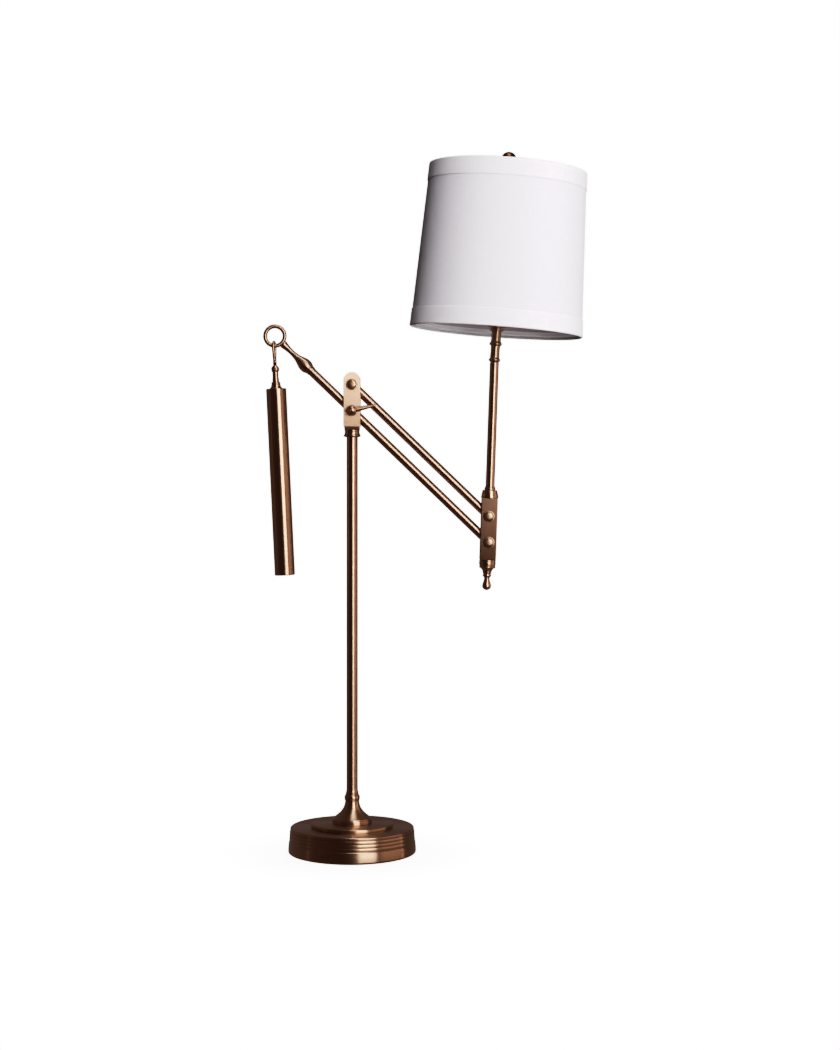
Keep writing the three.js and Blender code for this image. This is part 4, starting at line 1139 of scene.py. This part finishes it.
def make_fitter():
    height = SHADE_TOP - 3
    reach = rim_radius(height)
    middle = HUB_HEIGHT + HUB_THICKNESS / 2
    spider = rim_wire(height)
    for degrees in (90, 210, 330):
        bend = [(reach - 26, 0, middle + 0.4), (reach - 10, 0, middle + 1.6)]
        path = [(10, 0, middle), *bend, (reach, 0, height)]
        arm = swept(smooth_path(path, 40), SHADE_WIRE - 0.1, 12)
        spider = combined(spider, moved(arm, rotation(degrees, "Z")))
    hub_top = HUB_HEIGHT + HUB_THICKNESS
    hub = [(4.3, HUB_HEIGHT), (12, HUB_HEIGHT), (12, hub_top), (4.3, hub_top)]
    spider = combined(spider, lathe_ring(hub, 0.6, 48))
    bottom = hub_top + 0.3
    finial = [
        (0, 227.5), (PIN_HOLE, 227.5), (PIN_HOLE, bottom), (7, bottom), (7, 219.4),
        *flow([(6.2, 219.8), (4.7, 221.2), (4.2, 223.4), (4.4, 226), (5.0, 227.6)], 12),
        *arc(0, 236.6, 9.3, -57, 89, 24), (0, 245.9),
    ]
    pieces(
        "shade_carrier", SHADE,
        ("rim_wire", rim_wire(SHADE_BOTTOM + 3), white_paint, "shade_bottom_ring"),
        ("wire_spider", spider, white_paint, "shade_spider"),
        ("turned_top_finial", lathe(finial, 0.25), bronze, "shade_finial"),
    )


def finish_hidden_nodes():
    """Materials for the CAD nodes that stay: the weight, the threaded parts, the leads and the core."""
    finishes = {
        "base_weight": iron,
        "threaded_nipple": steel,
        "nipple_nut": steel,
        "column_lead": jacket,
        "arm_lead": jacket,
        "stem_lead": jacket,
        "counterweight_core": iron,
    }
    for name, material in finishes.items():
        mesh = frame["nodes"][name].data
        mesh.materials.clear()
        mesh.materials.append(material)


# ----- studio -----

CAMERA_PLACE = Vector((80, -2300, 466))
CAMERA_LENS = 66.86
CAMERA_DROP = 0.0643  # how far the level camera's film is shifted down, as a share of the picture's height
FLOOR_GAP = 0.2  # keeps the floor just under the felt
WHITE = 1.12  # the scene light that the tone curve takes to pure white
LIT_POINT = Vector((60, 0, 420))


def add_camera():
    data = bpy.data.cameras.new("camera")
    configured(data, lens=CAMERA_LENS, sensor_width=36, shift_y=-CAMERA_DROP)
    camera = added("camera", data)
    configured(camera, location=CAMERA_PLACE * MM, rotation_euler=(90 * DEGREE, 0, 0))
    bpy.context.scene.camera = camera


def softbox(name, azimuth, elevation, distance, width, height, radiance, lights="all", colour=(1, 1, 1)):
    """A rectangular light that faces the lamp. Azimuth is from the camera's side, towards the right.
    It lights everything, only cloth and paint ("matt"), or is only mirrored in metal ("gloss")."""
    a, e = azimuth * DEGREE, elevation * DEGREE
    out = Vector((sin(a) * cos(e), -cos(a) * cos(e), sin(e)))
    energy = 4 * radiance * width * MM * height * MM
    data = bpy.data.lights.new(name, "AREA")
    configured(data, shape="RECTANGLE", size=width * MM, size_y=height * MM, energy=energy, color=colour)
    light = configured(added(name, data), rotation_mode="QUATERNION", visible_camera=False)
    light.location = (LIT_POINT + out * distance) * MM
    light.rotation_quaternion = (-out).to_track_quat("-Z", "Y")
    configured(light, visible_glossy=lights != "matt", visible_diffuse=lights != "gloss")


def add_lights():
    warm = (1, 0.8, 0.66)
    softbox("key", 27.7, 12, 1900, 1140, 1900, 2.3)
    softbox("boom", 8, 19.5, 2430, 1300, 1400, 1.65, "matt")
    softbox("side wall", 75, 4, 1800, 1500, 1700, 0.36, "gloss", warm)
    softbox("side strip", 103, 0, 1800, 130, 1700, 0.9, "gloss", warm)
    softbox("left strip", -83, 0, 1800, 110, 1700, 0.13, "gloss", warm)
    softbox("top", 24, 74, 1800, 700, 1300, 1.7)
    softbox("rear fill", 180, 12, 2100, 900, 1600, 5, "matt")
    softbox("front fill", 16, 10, 2400, 600, 1200, 5.5, "matt")
    softbox("right fill", 95, 0, 1800, 800, 1400, 2.6, "matt")


def emptied(owner):
    """The node tree of a world or a material, with nothing in it."""
    owner.use_nodes = True
    owner.node_tree.nodes.clear()
    return owner.node_tree


def background(tree, colour, strength):
    return node(tree, "Background", [("Color", colour), ("Strength", strength)]).outputs[0]


def one_of(tree, factor, first, second):
    """The first shader where the factor is 0 and the second where it is 1."""
    return node(tree, "MixShader", [(0, factor), (1, first), (2, second)]).outputs[0]


def add_world():
    """White where the camera looks past the lamp; a dark warm studio for reflections and bounce."""
    world = bpy.data.worlds.new("studio")
    bpy.context.scene.world = world
    tree = emptied(world)
    direction = node(tree, "TexCoord").outputs["Generated"]
    parts = node(tree, "SeparateXYZ", [("Vector", direction)])
    depth = remap(tree, parts.outputs[1], -1, 1, 0.04, 0.12)
    hue = blended(tree, remap(tree, parts.outputs[1], -1, 1), (1.0, 0.55, 0.40, 1), (1.0, 0.8, 0.74, 1))
    room = background(tree, hue, depth)
    bounce = background(tree, (1.0, 0.62, 0.66, 1), 0.016)
    white = background(tree, (1, 1, 1, 1), WHITE)
    path = node(tree, "LightPath")
    seen = one_of(tree, path.outputs["Is Diffuse Ray"], room, bounce)
    seen = one_of(tree, path.outputs["Is Camera Ray"], seen, white)
    node(tree, "OutputWorld", [("Surface", seen)])


def add_floor():
    """A pale floor that fades to the backdrop's white away from the lamp."""
    material = bpy.data.materials.new("pale floor")
    tree = emptied(material)
    place = node(tree, "TexCoord").outputs["Object"]
    distance = node(tree, "VectorMath", [(0, place)], operation="LENGTH").outputs["Value"]
    fade = remap(tree, distance, 0.05, 0.16, 0.93, 1.0)
    paper = node(tree, "BsdfDiffuse", [("Color", (0.86, 0.86, 0.86, 1))]).outputs[0]
    glow = node(tree, "Emission", [("Color", (1, 1, 1, 1)), ("Strength", WHITE)]).outputs[0]
    node(tree, "OutputMaterial", [("Surface", one_of(tree, fade, paper, glow))])
    material.cycles.emission_sampling = "NONE"
    reach = 30
    mesh = bpy.data.meshes.new("floor")
    corners = [(-reach, -reach, 0), (reach, -reach, 0), (reach, reach, 0), (-reach, reach, 0)]
    mesh.from_pydata(corners, [], [range(4)])
    mesh.materials.append(material)
    floor = added("floor", mesh)
    floor.location.z = -FLOOR_GAP * MM
    configured(floor, visible_glossy=False, visible_diffuse=False, visible_shadow=False)


def set_tone_curve():
    """A photographer's curve, with deep shadows and a soft shoulder up to white, from light to level."""
    view = configured(bpy.context.scene.view_settings, view_transform="Standard", use_curve_mapping=True)
    view.curve_mapping.white_level = (WHITE, WHITE, WHITE)
    points = [(0.03, 0.018), (0.1, 0.085), (0.2, 0.22), (0.35, 0.43), (0.5, 0.59), (0.7, 0.745)]
    curve = view.curve_mapping.curves[3]
    for light, level in [*points, (0.95, 0.865), (1.03, 0.915)]:
        curve.points.new(light / WHITE, level)
    view.curve_mapping.update()


add_camera()
add_world()
add_floor()
add_lights()
set_tone_curve()

make_base()
make_yoke()
make_arms()
make_counterweight()
make_bracket()
make_lampholder()
make_fitter()
make_shade()
finish_hidden_nodes()
